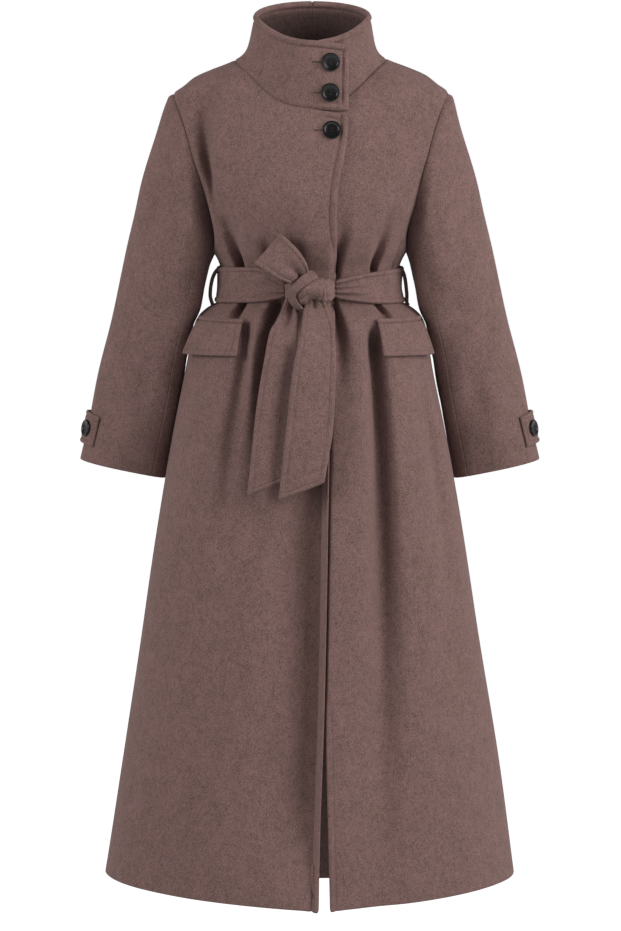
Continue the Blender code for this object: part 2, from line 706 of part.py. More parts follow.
def back_angles():
    """The angles of the back's top row, from the left shoulder seam to the right one."""
    return np.linspace(math.pi / 2, 1.5 * math.pi, BACK_COLUMNS + 1)


def add_back(word, material):
    """The back, from side seam to side seam."""
    levels, turns, at_armhole = panel_rows()
    top_angles = back_angles()
    heights = row_heights(levels, top_angles, neck_height(top_angles))
    reach = armhole_angle(-turns)
    share = np.linspace(-1.0, 1.0, BACK_COLUMNS + 1)
    angles = math.pi + share * (math.pi - reach)[:, None]
    outer = coat_point(angles, heights)
    inner = outer - CLOTH * normals(coat_point, angles, heights)
    for side, column in ((1, 0), (-1, -1)):
        mitre = mirrored(armhole_mitre(side, -turns[at_armhole]), side)
        inner[at_armhole, column] = outer[at_armhole, column] - mitre
    for edge in ("first", "last", "top"):
        draw_in((outer, inner), edge, SEAM / 2)
    add_panel(word, outer, inner, material)


# Collar


def collar_surface(over):
    """A collar half's outer surface, by the angle of its place on the neck seam and share of its height."""
    base_surface = over_point if over else coat_point
    end_angle = top_edge_angle(over_edge_at)

    def at(angle, share):
        angle, share = np.broadcast_arrays(angle, share)
        past_centre = over & (signed_angle(angle) > 0) & (np.abs(signed_angle(angle)) < math.pi / 2)
        base = base_surface(angle, neck_height(np.where(past_centre, 0.0, angle)))
        end_off = np.where(past_centre, RIM_END_OFF * signed_angle(angle) / end_angle, 0.0)
        step = over * overlap_step(angle) + end_off
        facing = np.cos(angle) > 0
        out = np.clip(base[..., 0] / NECK_HALF_WIDTH, -1.0, 1.0)
        shrink = 1.0 - RIM_HALF_WIDTH / NECK_HALF_WIDTH
        rim_out = np.clip(out * (1.0 - shrink * out * out) * NECK_HALF_WIDTH / RIM_HALF_WIDTH, -1.0, 1.0)
        rim_along = np.sqrt(1.0 - rim_out * rim_out)
        rim_y = RIM_CENTRE + np.where(facing, -1.0, 1.0) * (RIM_DEPTH * rim_along + step)
        dip = RIM_SIDE - RIM_FRONT_DROP * rim_along**RIM_FRONT_POWER
        flat = RIM_SIDE - RIM_FRONT_DROP - RIM_END_SLOPE * base[..., 0]
        rim_z = np.where(facing, np.where(past_centre, flat, dip), RIM_SIDE + RIM_BACK_RISE * rim_along)
        rim = np.stack([RIM_SHIFT + RIM_HALF_WIDTH * rim_out, rim_y, rim_z], axis=-1)
        lean = 1.0 - (1.0 - share) ** (FUNNEL_POWER + FUNNEL_SIDE_POWER * out * out)
        blend = np.stack([lean, lean, share], axis=-1)
        return base + (rim - base) * blend

    return at


def add_collar_half(name, angles, over, material):
    """One half of the collar, from the centre back seam to its end in front."""
    shares = np.linspace(0.0, 1.0, COLLAR_ROWS + 1) ** COLLAR_ROW_POWER
    angle, share = np.meshgrid(angles, shares)
    surface = collar_surface(over)
    outer = surface(angle, share)
    inside = np.clip(share, COLLAR_INSIDE, 1.0 - COLLAR_INSIDE)
    inner = outer - COLLAR_CLOTH * normals(surface, angle, inside)
    seam_heights = outer[0, :, 2]
    inner[0] = outer[0] - COLLAR_CLOTH * normals(over_point if over else coat_point, angles, seam_heights)
    draw_in((outer, inner), "bottom", SEAM / 2)
    draw_in((outer, inner), "first", SEAM / 2)
    add_wall(name, outer, inner, material)


def add_collar(material):
    """Both collar halves; their columns meet those of the panels below."""
    half_back = back_angles()[BACK_COLUMNS // 2 :]
    right_front = 2 * math.pi - front_angles(-1, RIGHT_FRONT_COLUMNS)[::-1]
    left_front = front_angles(1, LEFT_FRONT_COLUMNS)[::-1]
    left_back = back_angles()[: BACK_COLUMNS // 2 + 1][::-1]
    add_collar_half("collar_right", np.concatenate([half_back, right_front[1:]]), True, material)
    add_collar_half("collar_left", np.concatenate([left_back, left_front[1:]]), False, material)


# Pockets and cuff tabs


def add_on_surface(name, surface, along, up, off, thickness, material, level=False):
    """A strip made from a surface's points, moved out, or only out to the side where it is level."""
    points = surface(along, up)
    out = normals(surface, along, up)
    if level:
        out = out * LEVEL
        out = out / np.linalg.norm(out, axis=-1, keepdims=True)
    outer = points + out * (off + thickness)[..., None]
    add_wall(name, outer, points + out * off[..., None], material)


def add_pocket(side, word, material):
    """A pocket's flap, which stands off towards its outer lower corner, and the welt above it."""
    angles = np.radians(np.linspace(FLAP_FROM, FLAP_TO, FLAP_COLUMNS + 1))
    across = np.linspace(0.0, 1.0, FLAP_COLUMNS + 1)
    shares = np.linspace(0.0, 1.0, FLAP_ROWS + 1)
    angle, share = np.meshgrid(angles, shares)
    height = FLAP_TOP + share * (FLAP_BOTTOM - FLAP_TOP - FLAP_OUTER_DROP * across)
    off = LAYER + share * (FLAP_INNER_LIFT + across * (FLAP_OUTER_LIFT - FLAP_INNER_LIFT))
    surface = envelope_point
    thickness = np.full_like(off, TRIM_CLOTH)
    add_on_surface(f"pocket_flap_{word}", surface, side * angle, height, off, thickness, material)
    angle, height = np.meshgrid(angles, np.array([FLAP_TOP + LAYER, FLAP_TOP + WELT_HEIGHT]))
    off = np.full_like(angle, LAYER)
    thickness = np.full_like(angle, TRIM_CLOTH)
    add_on_surface(f"pocket_welt_{word}", surface, side * angle, height, off, thickness, material)


def add_cuff_tab(side, word, material):
    """A cuff tab, round the outside of the sleeve."""
    turns = np.radians(np.linspace(TAB_FROM, TAB_TO, TAB_COLUMNS + 1))
    turn, share = np.meshgrid(turns, TAB_SHARES)
    surface = sleeve_surface(side)
    points = surface(turn, share)
    out = normals(surface, turn, share)
    loose = LAYER + TAB_LOOSENESS * np.sin(np.linspace(0.0, math.pi, TAB_COLUMNS + 1))
    inner = points + out * loose[:, None]
    outer = inner + out * TRIM_CLOTH
    add_wall(f"cuff_tab_{word}", mirrored(outer, side), mirrored(inner, side), material)


# Belt


def add_band(material):
    """The belt round the waist, from one side of the knot round the back to the other."""
    angles = np.linspace(BAND[0].angle, BAND[-1].angle, BAND_COLUMNS + 1)
    top = column_curve(BAND, "angle", "top")(angles)
    bottom = column_curve(BAND, "angle", "bottom")(angles)
    shares = np.linspace(0.0, 1.0, BAND_ROWS + 1)
    height = bottom + shares[:, None] * (top - bottom)
    angle = np.broadcast_to(np.radians(angles), height.shape)
    off = np.full(height.shape, BELT_CLEAR)
    thickness = np.full(height.shape, BELT_CLOTH)
    add_on_surface("belt_band", envelope_point, angle, height, off, thickness, material)


def add_knot(material):
    """The knot's core between the band's ends, and the wrap round its middle."""
    points = []
    for ring in CORE:
        for turn in np.linspace(0.0, 2.0 * math.pi, CORE_SIDES, endpoint=False):
            forward = ring.forward + ring.half_depth * math.cos(turn)
            points.append((ring.out, -forward, ring.height + ring.half_height * math.sin(turn)))
    faces = [tuple(range(CORE_SIDES)), tuple(reversed(range(len(points) - CORE_SIDES, len(points))))]
    for start in range(0, len(points) - CORE_SIDES, CORE_SIDES):
        for side in range(CORE_SIDES):
            low, high = start + side, start + (side + 1) % CORE_SIDES
            faces.append((high, low, low + CORE_SIDES, high + CORE_SIDES))
    add_solid("belt_knot_core", points, faces, material)

    turns = np.linspace(0.0, 2.0 * math.pi, WRAP_SIDES, endpoint=False)
    places = np.linspace(WRAP_LEFT, WRAP_RIGHT, WRAP_RINGS)
    roll = WRAP_EDGE_ROLL * np.abs(np.linspace(-1.0, 1.0, WRAP_RINGS)) ** WRAP_ROLL_POWER
    turn, out = np.meshgrid(turns, places)

    def rings(inset):
        """The points of every ring, drawn in by an inset for each."""
        inset = np.broadcast_to(np.reshape(inset, (-1, 1)), turn.shape)
        forward = -WRAP_FORWARD - (WRAP_HALF_DEPTH - inset) * np.cos(turn)
        height = WRAP_HEIGHT + (WRAP_HALF_HEIGHT - inset) * np.sin(turn)
        return np.stack([out, forward, height], axis=-1)

    inner = rings(np.full(WRAP_RINGS, WRAP_CLOTH))
    add_wall("belt_knot_wrap", rings(roll), inner, material, closed=True)


def add_bow_loop(material):
    """The bow loop: out from the knot, round its far end and back, widening as it goes."""
    sides = np.linspace(-1.0, 1.0, LOOP_COLUMNS + 1)
    middle = []
    for row in LOOP_ROWS:
        centre = LOOP_ROOT + row.share * (LOOP_END - LOOP_ROOT) + row.off * FORWARD
        across = LOOP_ROOT_ACROSS + row.share * (LOOP_END_ACROSS - LOOP_ROOT_ACROSS)
        across = across / np.linalg.norm(across)
        middle.append([centre + side * row.half_width * across for side in sides])
    add_strap("belt_bow_loop", np.array(middle), TRIM_CLOTH, material)


def add_tail(name, rows, material):
    """A hanging end of the belt, on the right front."""
    share = np.linspace(0.0, 1.0, TAIL_COLUMNS + 1)
    table = np.array(rows)[:, :, None]
    left_height, left, right_height, right, off = table.transpose(1, 0, 2)
    height = left_height + share * (right_height - left_height)
    out = left + share * (right - left)
    off = np.broadcast_to(off, out.shape)
    thickness = np.full(out.shape, BELT_CLOTH)
    add_on_surface(name, envelope_point, angle_at(out, height), height, off, thickness, material, level=True)


def add_carrier(side, word, material):
    """A belt carrier: a thin strap on the side seam, above and below the band and out round it."""
    heights = np.array([row.height for row in CARRIER])
    off = np.array([row.off for row in CARRIER])
    out = half_width_at(heights) + CARRIER_SLACK[word] * off + SEAM + 0.5 * CARRIER_CLOTH
    centres = np.stack([side * out, centre_at(heights), heights], axis=-1)
    places = np.linspace(-CARRIER_HALF_WIDTH, CARRIER_HALF_WIDTH, 2)
    middle = centres[:, None] + places[:, None] * FORWARD
    add_strap(f"belt_carrier_{word}", middle, CARRIER_CLOTH, material)


# Buttons


def seat_on(surface, up, out, height):
    """The point of a surface at a place seen from the front, and its normal there; up is a first guess."""
    along = math.asin(out / NECK_HALF_WIDTH)
    for _ in range(SEAT_ROUNDS):
        point = surface(along, up)
        by_along = (surface(along + SLOPE_STEP, up) - point) / SLOPE_STEP
        by_up = (surface(along, up + SLOPE_STEP) - point) / SLOPE_STEP
        slopes = np.array([[by_along[0], by_up[0]], [by_along[2], by_up[2]]])
        move = np.linalg.solve(slopes, [out - point[0], height - point[2]])
        along, up = along + move[0], up + move[1]
    return surface(along, up), normals(surface, along, up)


def turn_to(normal):
    """The rotation that turns +Z to a normal and keeps the button's own up in line with the coat."""
    depth = np.asarray(normal) / np.linalg.norm(normal)
    across = np.cross([0.0, 0.0, 1.0], depth)
    across = across / np.linalg.norm(across)
    up = np.cross(depth, across)
    return [list(row) for row in np.stack([across, up, depth], axis=1)]


def add_button(name, seat, normal, radius, material):
    """A dished button with a raised rim and four holes, on a seat."""
    places = [(point.out * radius, 0.0, point.up * radius) for point in BUTTON_PROFILE]
    mesh = bpy.data.meshes.new(name)
    mesh.from_pydata(places, [(i, i + 1) for i in range(len(places) - 1)], [])
    button = add_piece(name, mesh, material)
    turned = button.modifiers.new("turned", "SCREW")
    turned.steps = BUTTON_SIDES
    turned.render_steps = BUTTON_SIDES
    turned.use_merge_vertices = True
    turned.merge_threshold = BUTTON_MERGE
    button.location = np.asarray(seat) + BUTTON_SEAT * np.asarray(normal)
    button.rotation_euler = Matrix(turn_to(normal)).to_euler()
    for number, (across, up) in enumerate(((1, 1), (-1, 1), (-1, -1), (1, -1))):
        offset = BUTTON_HOLE_OFFSET * radius
        bpy.ops.mesh.primitive_cylinder_add(
            vertices=BUTTON_HOLE_SIDES, radius=BUTTON_HOLE_RADIUS * radius, depth=2.0 * radius
        )
        cutter = bpy.context.object
        cutter.name = f"cutter_{name}_{number}"
        cutter.parent = button
        cutter.location = (across * offset, up * offset, 0.0)
        cutter.hide_render = True
        cutter.display_type = "WIRE"
        for collection in cutter.users_collection:
            collection.objects.unlink(cutter)
        bpy.data.collections[CUTTERS].objects.link(cutter)
        hole = button.modifiers.new(f"hole_{number}", "BOOLEAN")
        hole.object = cutter
        hole.solver = "EXACT"
    return button


def add_buttons(material):
    """The three front buttons and one on each cuff tab."""
    for button in COLLAR_BUTTONS:
        seat, normal = seat_on(collar_surface(True), 0.5, button.out, button.height)
        add_button(button.name, seat, normal, FRONT_BUTTON_RADIUS, material)
    seat, normal = seat_on(over_point, FRONT_BUTTON.height, FRONT_BUTTON.out, FRONT_BUTTON.height)
    add_button(FRONT_BUTTON.name, seat, normal, FRONT_BUTTON_RADIUS, material)
    turn = np.array(math.radians(CUFF_BUTTON_TURN))
    share = np.array(0.5 * (TAB_SHARES[0] + TAB_SHARES[-1]))
    for side, word in ((-1, "right"), (1, "left")):
        surface = sleeve_surface(side)
        normal = normals(surface, turn, share)
        loose = TAB_LOOSENESS * math.sin(math.pi * (CUFF_BUTTON_TURN - TAB_FROM) / (TAB_TO - TAB_FROM))
        seat = mirrored(surface(turn, share) + normal * (LAYER + loose + TRIM_CLOTH), side)
        add_button(f"button_cuff_{word}", seat, mirrored(normal, side), CUFF_BUTTON_RADIUS, material)


# The whole coat


def finish(name, colour, roughness):
    """A plain material."""
    material = bpy.data.materials.new(name)
    material.use_nodes = True
    shader = material.node_tree.nodes["Principled BSDF"]
    shader.inputs["Base Color"].default_value = colour
    shader.inputs["Roughness"].default_value = roughness
    shader.inputs["Metallic"].default_value = 0.0
    return material


def main():
    """Clears the scene and builds the coat."""
    for thing in list(bpy.data.objects):
        bpy.data.objects.remove(thing)
    for name in (COAT, CUTTERS):
        bpy.context.scene.collection.children.link(bpy.data.collections.new(name))
    bpy.data.collections[COAT].objects.link(bpy.data.objects.new(COAT, None))
    wool = finish("wool", WOOL_COLOUR, WOOL_ROUGHNESS)
    dark = finish("button", BUTTON_COLOUR, BUTTON_ROUGHNESS)
    add_front("right", -1, RIGHT_FRONT_COLUMNS, wool)
    add_front("left", 1, LEFT_FRONT_COLUMNS, wool)
    add_back("back", wool)
    add_collar(wool)
    add_sleeves(wool)
    add_band(wool)
    add_knot(wool)
    add_bow_loop(wool)
    add_tail("belt_tail_front", FRONT_TAIL, wool)
    add_tail("belt_tail_rear", REAR_TAIL, wool)
    for side, word in ((-1, "right"), (1, "left")):
        add_carrier(side, word, wool)
        add_pocket(side, word, wool)
        add_cuff_tab(side, word, wool)
    add_buttons(dark)


main()
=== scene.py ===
"""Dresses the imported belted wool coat: napped cloth, seams, topstitching, tied belt and resin buttons.

Metres, +Z up. The front faces -Y, so the wearer's right side is at -X. A place on the body is found by an
angle, 0 at the centre front and a quarter turn at the wearer's left side, and a height.
"""

import logging
import math
from collections.abc import Callable, Iterable, Sequence
from dataclasses import dataclass
from enum import Enum
from typing import NamedTuple

import bpy
import numpy as np
from mathutils import Matrix, Vector


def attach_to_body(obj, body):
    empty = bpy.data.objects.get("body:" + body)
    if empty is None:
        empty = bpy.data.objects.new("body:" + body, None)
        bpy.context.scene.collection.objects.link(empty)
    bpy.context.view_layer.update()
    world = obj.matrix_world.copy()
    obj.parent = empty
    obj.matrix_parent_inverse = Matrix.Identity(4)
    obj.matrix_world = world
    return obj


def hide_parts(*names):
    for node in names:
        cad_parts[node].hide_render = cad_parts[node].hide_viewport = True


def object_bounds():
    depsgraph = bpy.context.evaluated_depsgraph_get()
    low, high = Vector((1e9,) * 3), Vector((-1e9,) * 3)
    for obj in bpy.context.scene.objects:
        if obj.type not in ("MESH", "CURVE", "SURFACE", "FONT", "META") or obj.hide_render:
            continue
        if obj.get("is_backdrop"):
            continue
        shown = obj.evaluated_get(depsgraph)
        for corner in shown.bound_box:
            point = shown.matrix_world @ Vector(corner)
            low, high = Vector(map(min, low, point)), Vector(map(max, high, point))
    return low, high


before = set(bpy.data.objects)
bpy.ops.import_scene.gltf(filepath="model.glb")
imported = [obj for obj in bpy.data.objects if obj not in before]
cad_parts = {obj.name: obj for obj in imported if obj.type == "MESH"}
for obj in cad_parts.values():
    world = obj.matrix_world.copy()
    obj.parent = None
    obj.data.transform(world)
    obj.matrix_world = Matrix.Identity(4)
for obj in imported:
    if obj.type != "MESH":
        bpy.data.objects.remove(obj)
CAD_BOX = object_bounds()

LOG = logging.getLogger("coat")
BODY = "root"
# Name of the mesh attribute that paints shade onto the inner face of the collar.
PAINTED_SHADE_ATTRIBUTE = "deep"

Points = np.ndarray
Surface = Callable[[Points, Points], Points]

MM = 0.001
CLOTH = 3.0 * MM
COLLAR_CLOTH = 4.0 * MM
BELT_CLOTH = 5.0 * MM
TRIM_CLOTH = 3.5 * MM
SEAM = 0.3 * MM
LAYER = 0.4 * MM
BELT_CLEAR = 0.7 * MM
BELT_TOP = -0.314
BELT_BOTTOM = -0.367
BELT_WIDTH = 0.053
SLOPE_STEP = 1e-4
DRAW_LIMIT = 0.7
LEAST_RUN = 40
SEAT_STEPS = 20
FORWARD = np.array([0.0, -1.0, 0.0])
LEVEL = np.array([1.0, 1.0, 0.0])


class Side(Enum):
    """A side of the wearer, with its sign along X."""

    RIGHT = -1
    LEFT = 1

    @property
    def word(self) -> str:
        """The side's name in the names of pieces."""
        return self.name.lower()


class Slot(Enum):
    """The record's finishes."""

    WOOL = "wool"
    BUTTON = "button"


class Hold(Enum):
    """How a cloth piece is held."""

    HUNG = "hung"
    FOLDED = "folded"
    STRETCHED = "stretched"


class Edge(Enum):
    """An edge of a grid: the axis along which lines leave it, and whether it is at their far end."""

    FIRST = (1, False)
    LAST = (1, True)
    TOP = (0, True)
    BOTTOM = (0, False)

    def first(self, grid: Points) -> Points:
        """A view of a grid in which this edge is the first column."""
        axis, far = self.value
        lines = grid if axis == 1 else grid.swapaxes(0, 1)
        return lines[:, ::-1] if far else lines

    def lengths(self, grid: Points) -> Points:
        """How far each point of a grid lies from this edge, along its row or column.

        Args:
            grid: The grid.

        Returns:
            The length at each point.
        """
        steps = np.linalg.norm(np.diff(self.first(grid), axis=1), axis=-1)
        lengths = np.zeros(grid.shape[:2])
        self.first(lengths)[:, 1:] = np.cumsum(steps, axis=1)
        return lengths

    def draw_in(self, grid: Points, distance: float | Points) -> None:
        """Moves this edge of a grid in along the surface.

        Args:
            grid: The grid, which is changed.
            distance: How far it moves, for the whole edge or for each of its points.
        """
        lines = self.first(grid)
        way = lines[:, 1] - lines[:, 0]
        room = DRAW_LIMIT * np.linalg.norm(way, axis=-1)
        lines[:, 0] += np.minimum(distance, room)[:, None] * unit(way)


# Curves and grids


def eased(share: Points) -> Points:
    """A smooth step from 0 to 1 as the share goes from 0 to 1."""
    share = np.clip(share, 0.0, 1.0)
    return share * share * (3.0 - 2.0 * share)


def bump(place: Points, middle: float | Points, half: float | Points) -> Points:
    """A smooth hill of height 1 round a middle."""
    return np.exp(-(((place - middle) / half) ** 2))


def unit(vectors: Points) -> Points:
    """Vectors brought to length 1."""
    return vectors / np.maximum(np.linalg.norm(vectors, axis=-1, keepdims=True), 1e-12)


def signed_angle(angle: Points) -> Points:
    """The same angle between minus and plus half a turn."""
    return (angle + math.pi) % (2.0 * math.pi) - math.pi


def mirrored(points: Points, side: Side) -> Points:
    """Points laid out on the wearer's left, for the given side."""
    return points * np.array([side.value, 1.0, 1.0])


class SmoothCurve:
    """A curve through given values that never swings past them."""

    def __init__(self, places: Sequence[float], values: Sequence[float]) -> None:
        """Works out the curve's slopes.

        Args:
            places: Where the values hold, in any order.
            values: The value at each place.
        """
        order = np.argsort(places)
        self.xs = np.asarray(places, float)[order]
        self.ys = np.asarray(values, float)[order]
        self.gaps = np.diff(self.xs)
        slopes = np.diff(self.ys) / self.gaps
        self.tangents = np.concatenate([slopes[:1], np.zeros(len(self.xs) - 2), slopes[-1:]])
        same_way = slopes[:-1] * slopes[1:] > 0
        before = 2.0 * self.gaps[1:] + self.gaps[:-1]
        after = self.gaps[1:] + 2.0 * self.gaps[:-1]
        low, high = np.where(same_way, slopes[:-1], 1.0), np.where(same_way, slopes[1:], 1.0)
        self.tangents[1:-1] = np.where(same_way, (before + after) / (before / low + after / high), 0.0)

    def __call__(self, place: Points) -> Points:
        """The curve's value at a place, held level past its ends."""
        place = np.clip(place, self.xs[0], self.xs[-1])
        span = np.clip(np.searchsorted(self.xs, place) - 1, 0, len(self.gaps) - 1)
        gap = self.gaps[span]
        share = (place - self.xs[span]) / gap
        rest = 1.0 - share
        level = self.ys[span] * rest * rest * (1.0 + 2.0 * share)
        level = level + self.ys[span + 1] * share * share * (3.0 - 2.0 * share)
        return level + gap * share * rest * (self.tangents[span] * rest - self.tangents[span + 1] * share)


def column_curve(rows: Sequence[NamedTuple], place: str, value: str) -> SmoothCurve:
    """The curve through one column of a table."""
    return SmoothCurve([getattr(row, place) for row in rows], [getattr(row, value) for row in rows])


def rows_of(kind: Callable[..., NamedTuple], *rows: tuple[float, ...]) -> tuple[NamedTuple, ...]:
    """The rows of a table, each with its columns named."""
    return tuple(kind(*row) for row in rows)


def columns_at(rows: Sequence[NamedTuple], knots: Points, places: Points) -> list[Points]:
    """The smooth curve through each column of a table, by its rows' knots, read at new places."""
    return [SmoothCurve(knots, column)(places) for column in zip(*rows)]


def sampled(places: Points, along: Points, vectors: Sequence[Points]) -> Points:
    """Vectors given along a line, read at new places between them."""
    return np.stack([np.interp(places, along, part) for part in np.asarray(vectors).T], axis=-1)


def path_lengths(line: Points) -> Points:
    """How far along a line each of its points lies."""
    return Edge.FIRST.lengths(line[None])[0]


def raised(points: Points, facing: Points, height: float | Points) -> Points:
    """Points moved along their normals."""
    return points + np.asarray(height)[..., None] * facing


def square_to(vectors: Points, way: Points) -> Points:
    """Unit vectors at right angles to a way, as near as can be to the given ones."""
    return unit(vectors - np.sum(vectors * way, axis=-1, keepdims=True) * way)


def round_turns(sides: int) -> Points:
    """Even turns all the way round."""
    return np.linspace(0.0, 2.0 * math.pi, sides, endpoint=False)


def normals(surface: Surface, along: Points, up: Points) -> Points:
    """Unit normals of a surface that takes two parameters.

    Args:
        surface: The surface.
        along: Its first parameter at each point.
        up: Its second parameter at each point.

    Returns:
        A normal for each point.
    """
    across = surface(along + SLOPE_STEP, up) - surface(along - SLOPE_STEP, up)
    rise = surface(along, up + SLOPE_STEP) - surface(along, up - SLOPE_STEP)
    return unit(np.cross(across, rise))


def faced(surface: Surface, along: Points, up: Points) -> tuple[Points, Points]:
    """A surface's points and their normals."""
    return surface(along, up), normals(surface, along, up)


def grid_normals(grid: Points) -> Points:
    """Unit normals of a grid of points, on the side from which its columns run to the right."""
    return unit(np.cross(np.gradient(grid, axis=1), np.gradient(grid, axis=0)))


def turn_in(grids: Sequence[Points], edges: Iterable[Edge], distance: float) -> None:
    """Draws edges of both faces of a wall in, to make room for its rolled rim.

    Args:
        grids: The faces, which are changed.
        edges: The edges.
        distance: How far they move.
    """
    for grid in grids:
        for edge in edges:
            edge.draw_in(grid, distance)


def corner_pull(from_corner: Points, from_end: Points, radius: float) -> Points:
    """How far an end is drawn in at each point, to round off the corner with another edge."""
    rounding = np.clip(radius - from_corner, 0.0, radius)
    return (radius - np.sqrt(radius**2 - rounding**2)) * np.exp(-from_end / radius)


def spaced(near: Sequence[float], count: int, far: Sequence[float], length: float) -> Points:
    """Places along a length: at given distances from both ends, and even ones between."""
    first, last = np.asarray(near), length - np.asarray(far)[::-1]
    return np.concatenate([first, np.linspace(first[-1], last[0], count + 2)[1:-1], last])


def in_mm(*places: float) -> tuple[float, ...]:
    """Places given in millimetres."""
    return tuple(MM * place for place in places)


# The form of the body


class Section(NamedTuple):
    """One level of the body's outer surface."""

    height: float
    half_width: float
    front: float
    back: float
    centre: float


class Fold(NamedTuple):
    """A trough in the cloth, from its start to where it fades out; angles in degrees."""

    angle: float
    end_angle: float
    start: float
    end: float
    rise: float
    half_angle: float
    depth: float


class FrontEdge(NamedTuple):
    """How far past the centre a front's edge lies at a height."""

    height: float
    out: float


UNDER_BELT = 0.02
SECTIONS = rows_of(
    Section,
    (0.03, 0.08, 0.022, 0.05, 0.0), (0.012, 0.1, 0.042, 0.07, 0.0), (0.0, 0.114, 0.052, 0.0785, 0.0),
    (-0.016, 0.1535, 0.061, 0.088, 0.0), (-0.025, 0.174, 0.066, 0.092, 0.0),
    (-0.039, 0.192, 0.073, 0.097, 0.0), (-0.051, 0.2073, 0.0785, 0.101, 0.0),
    (-0.07, 0.2085, 0.0875, 0.106, 0.0), (-0.086, 0.2082, 0.095, 0.11, 0.0),
    (-0.128, 0.2057, 0.11, 0.117, 0.0), (-0.176, 0.1955, 0.124, 0.121, 0.0),
    (-0.215, 0.1845, 0.131, 0.12, 0.0), (-0.257, 0.1635, 0.13, 0.115, 0.0),
    (-0.288, 0.149, 0.121, 0.108, 0.0), (-0.314, 0.136, 0.108, 0.1, 0.0),
    (-0.341, 0.1345, 0.106, 0.098, 0.0), (-0.367, 0.1395, 0.109, 0.101, 0.0),
    (-0.373, 0.1515, 0.114, 0.107, -0.001), (-0.39, 0.17, 0.127, 0.121, -0.004),
    (-0.41, 0.1775, 0.1345, 0.129, -0.006), (-0.449, 0.184, 0.1425, 0.137, -0.01),
    (-0.546, 0.2036, 0.1515, 0.148, -0.012), (-0.638, 0.2196, 0.159, 0.157, -0.012),
    (-1.236, 0.3122, 0.2, 0.2, -0.01), (-1.3, 0.322, 0.2045, 0.2045, -0.01),
)
FOLDS = rows_of(
    Fold,
    (-51, -44, BELT_TOP, -0.17, UNDER_BELT, 5.0, 0.026), (-52, -48, -0.165, 0.02, 0.08, 4.8, 0.026),
    (-25.5, -23, BELT_TOP, -0.215, UNDER_BELT, 3.6, 0.012),
    (-7, -12, BELT_TOP, -0.205, UNDER_BELT, 4.2, 0.02),
    (16.5, 17, BELT_TOP, -0.215, UNDER_BELT, 3.4, 0.023),
    (45, 41, BELT_TOP, -0.195, UNDER_BELT, 3.8, 0.019),
    (66, 57, BELT_TOP, -0.185, UNDER_BELT, 4.0, 0.006),
    (-47.5, -28, BELT_BOTTOM, -0.43, UNDER_BELT, 4.2, 0.023),
    (-34, -31, -0.41, -0.76, 0.04, 4.4, 0.018),
    (-21, -24.5, BELT_BOTTOM, -0.85, UNDER_BELT, 5.0, 0.034),
    (-9, -9, BELT_BOTTOM, -0.47, UNDER_BELT, 7.0, 0.034),
    (14.5, 13, BELT_BOTTOM, -0.52, UNDER_BELT, 3.4, 0.023),
    (47.5, 35, BELT_BOTTOM, -0.44, UNDER_BELT, 4.0, 0.015), (33.5, 11, -0.425, -1.75, 0.04, 5.6, 0.037),
    (-36, -27, -0.6, -1.15, 0.15, 6.5, 0.008), (62, 58, -0.56, -1.2, 0.15, 7.0, 0.008),
    (124, 132, BELT_TOP, -0.2, UNDER_BELT, 5.5, 0.012),
    (157, 162, BELT_TOP, -0.215, UNDER_BELT, 5.5, 0.013),
    (206, 199, BELT_TOP, -0.205, UNDER_BELT, 5.5, 0.012),
    (238, 230, BELT_TOP, -0.21, UNDER_BELT, 5.5, 0.013),
    (128, 122, BELT_BOTTOM, -0.7, UNDER_BELT, 5.5, 0.014),
    (153, 150, BELT_BOTTOM, -1.0, UNDER_BELT, 6.0, 0.02),
    (183, 181, BELT_BOTTOM, -0.64, UNDER_BELT, 5.5, 0.014),
    (212, 209, BELT_BOTTOM, -1.1, UNDER_BELT, 6.0, 0.022),
    (239, 243, BELT_BOTTOM, -0.72, UNDER_BELT, 5.5, 0.012),
)
OVER_EDGE = rows_of(
    FrontEdge,
    (-0.07, 0.0568), (-0.111, 0.0556), (-0.147, 0.0495), (-0.17, 0.0445), (-0.219, 0.0394),
    (-0.326, 0.0356), (-0.372, 0.0345), (-0.652, 0.0312), (-0.937, 0.026), (-1.102, 0.0202),
    (-1.3, 0.0108),
)
UNDER_EDGE = (FrontEdge(-0.070, 0.0010), FrontEdge(-1.300, 0.0313))


class Wave(NamedTuple):
    """A slow swell in hanging cloth: turns round it, radians for each unit along it, phase and reach."""

    turns: int
    rise: float
    phase: float
    reach: float


SWELLS = (
    Wave(3, 7.0, 0.6, 1.0 * MM),
    Wave(5, -12.0, 2.1, 0.8 * MM),
    Wave(8, 17.0, 4.0, 0.6 * MM),
    Wave(13, -9.0, 1.2, 0.5 * MM),
)


def swelling(waves: Sequence[Wave], angle: Points, along: Points) -> Points:
    """The height of slow swells, by the angle round a form and the place along it."""
    return sum(wave.reach * np.sin(wave.turns * angle + wave.rise * along + wave.phase) for wave in waves)


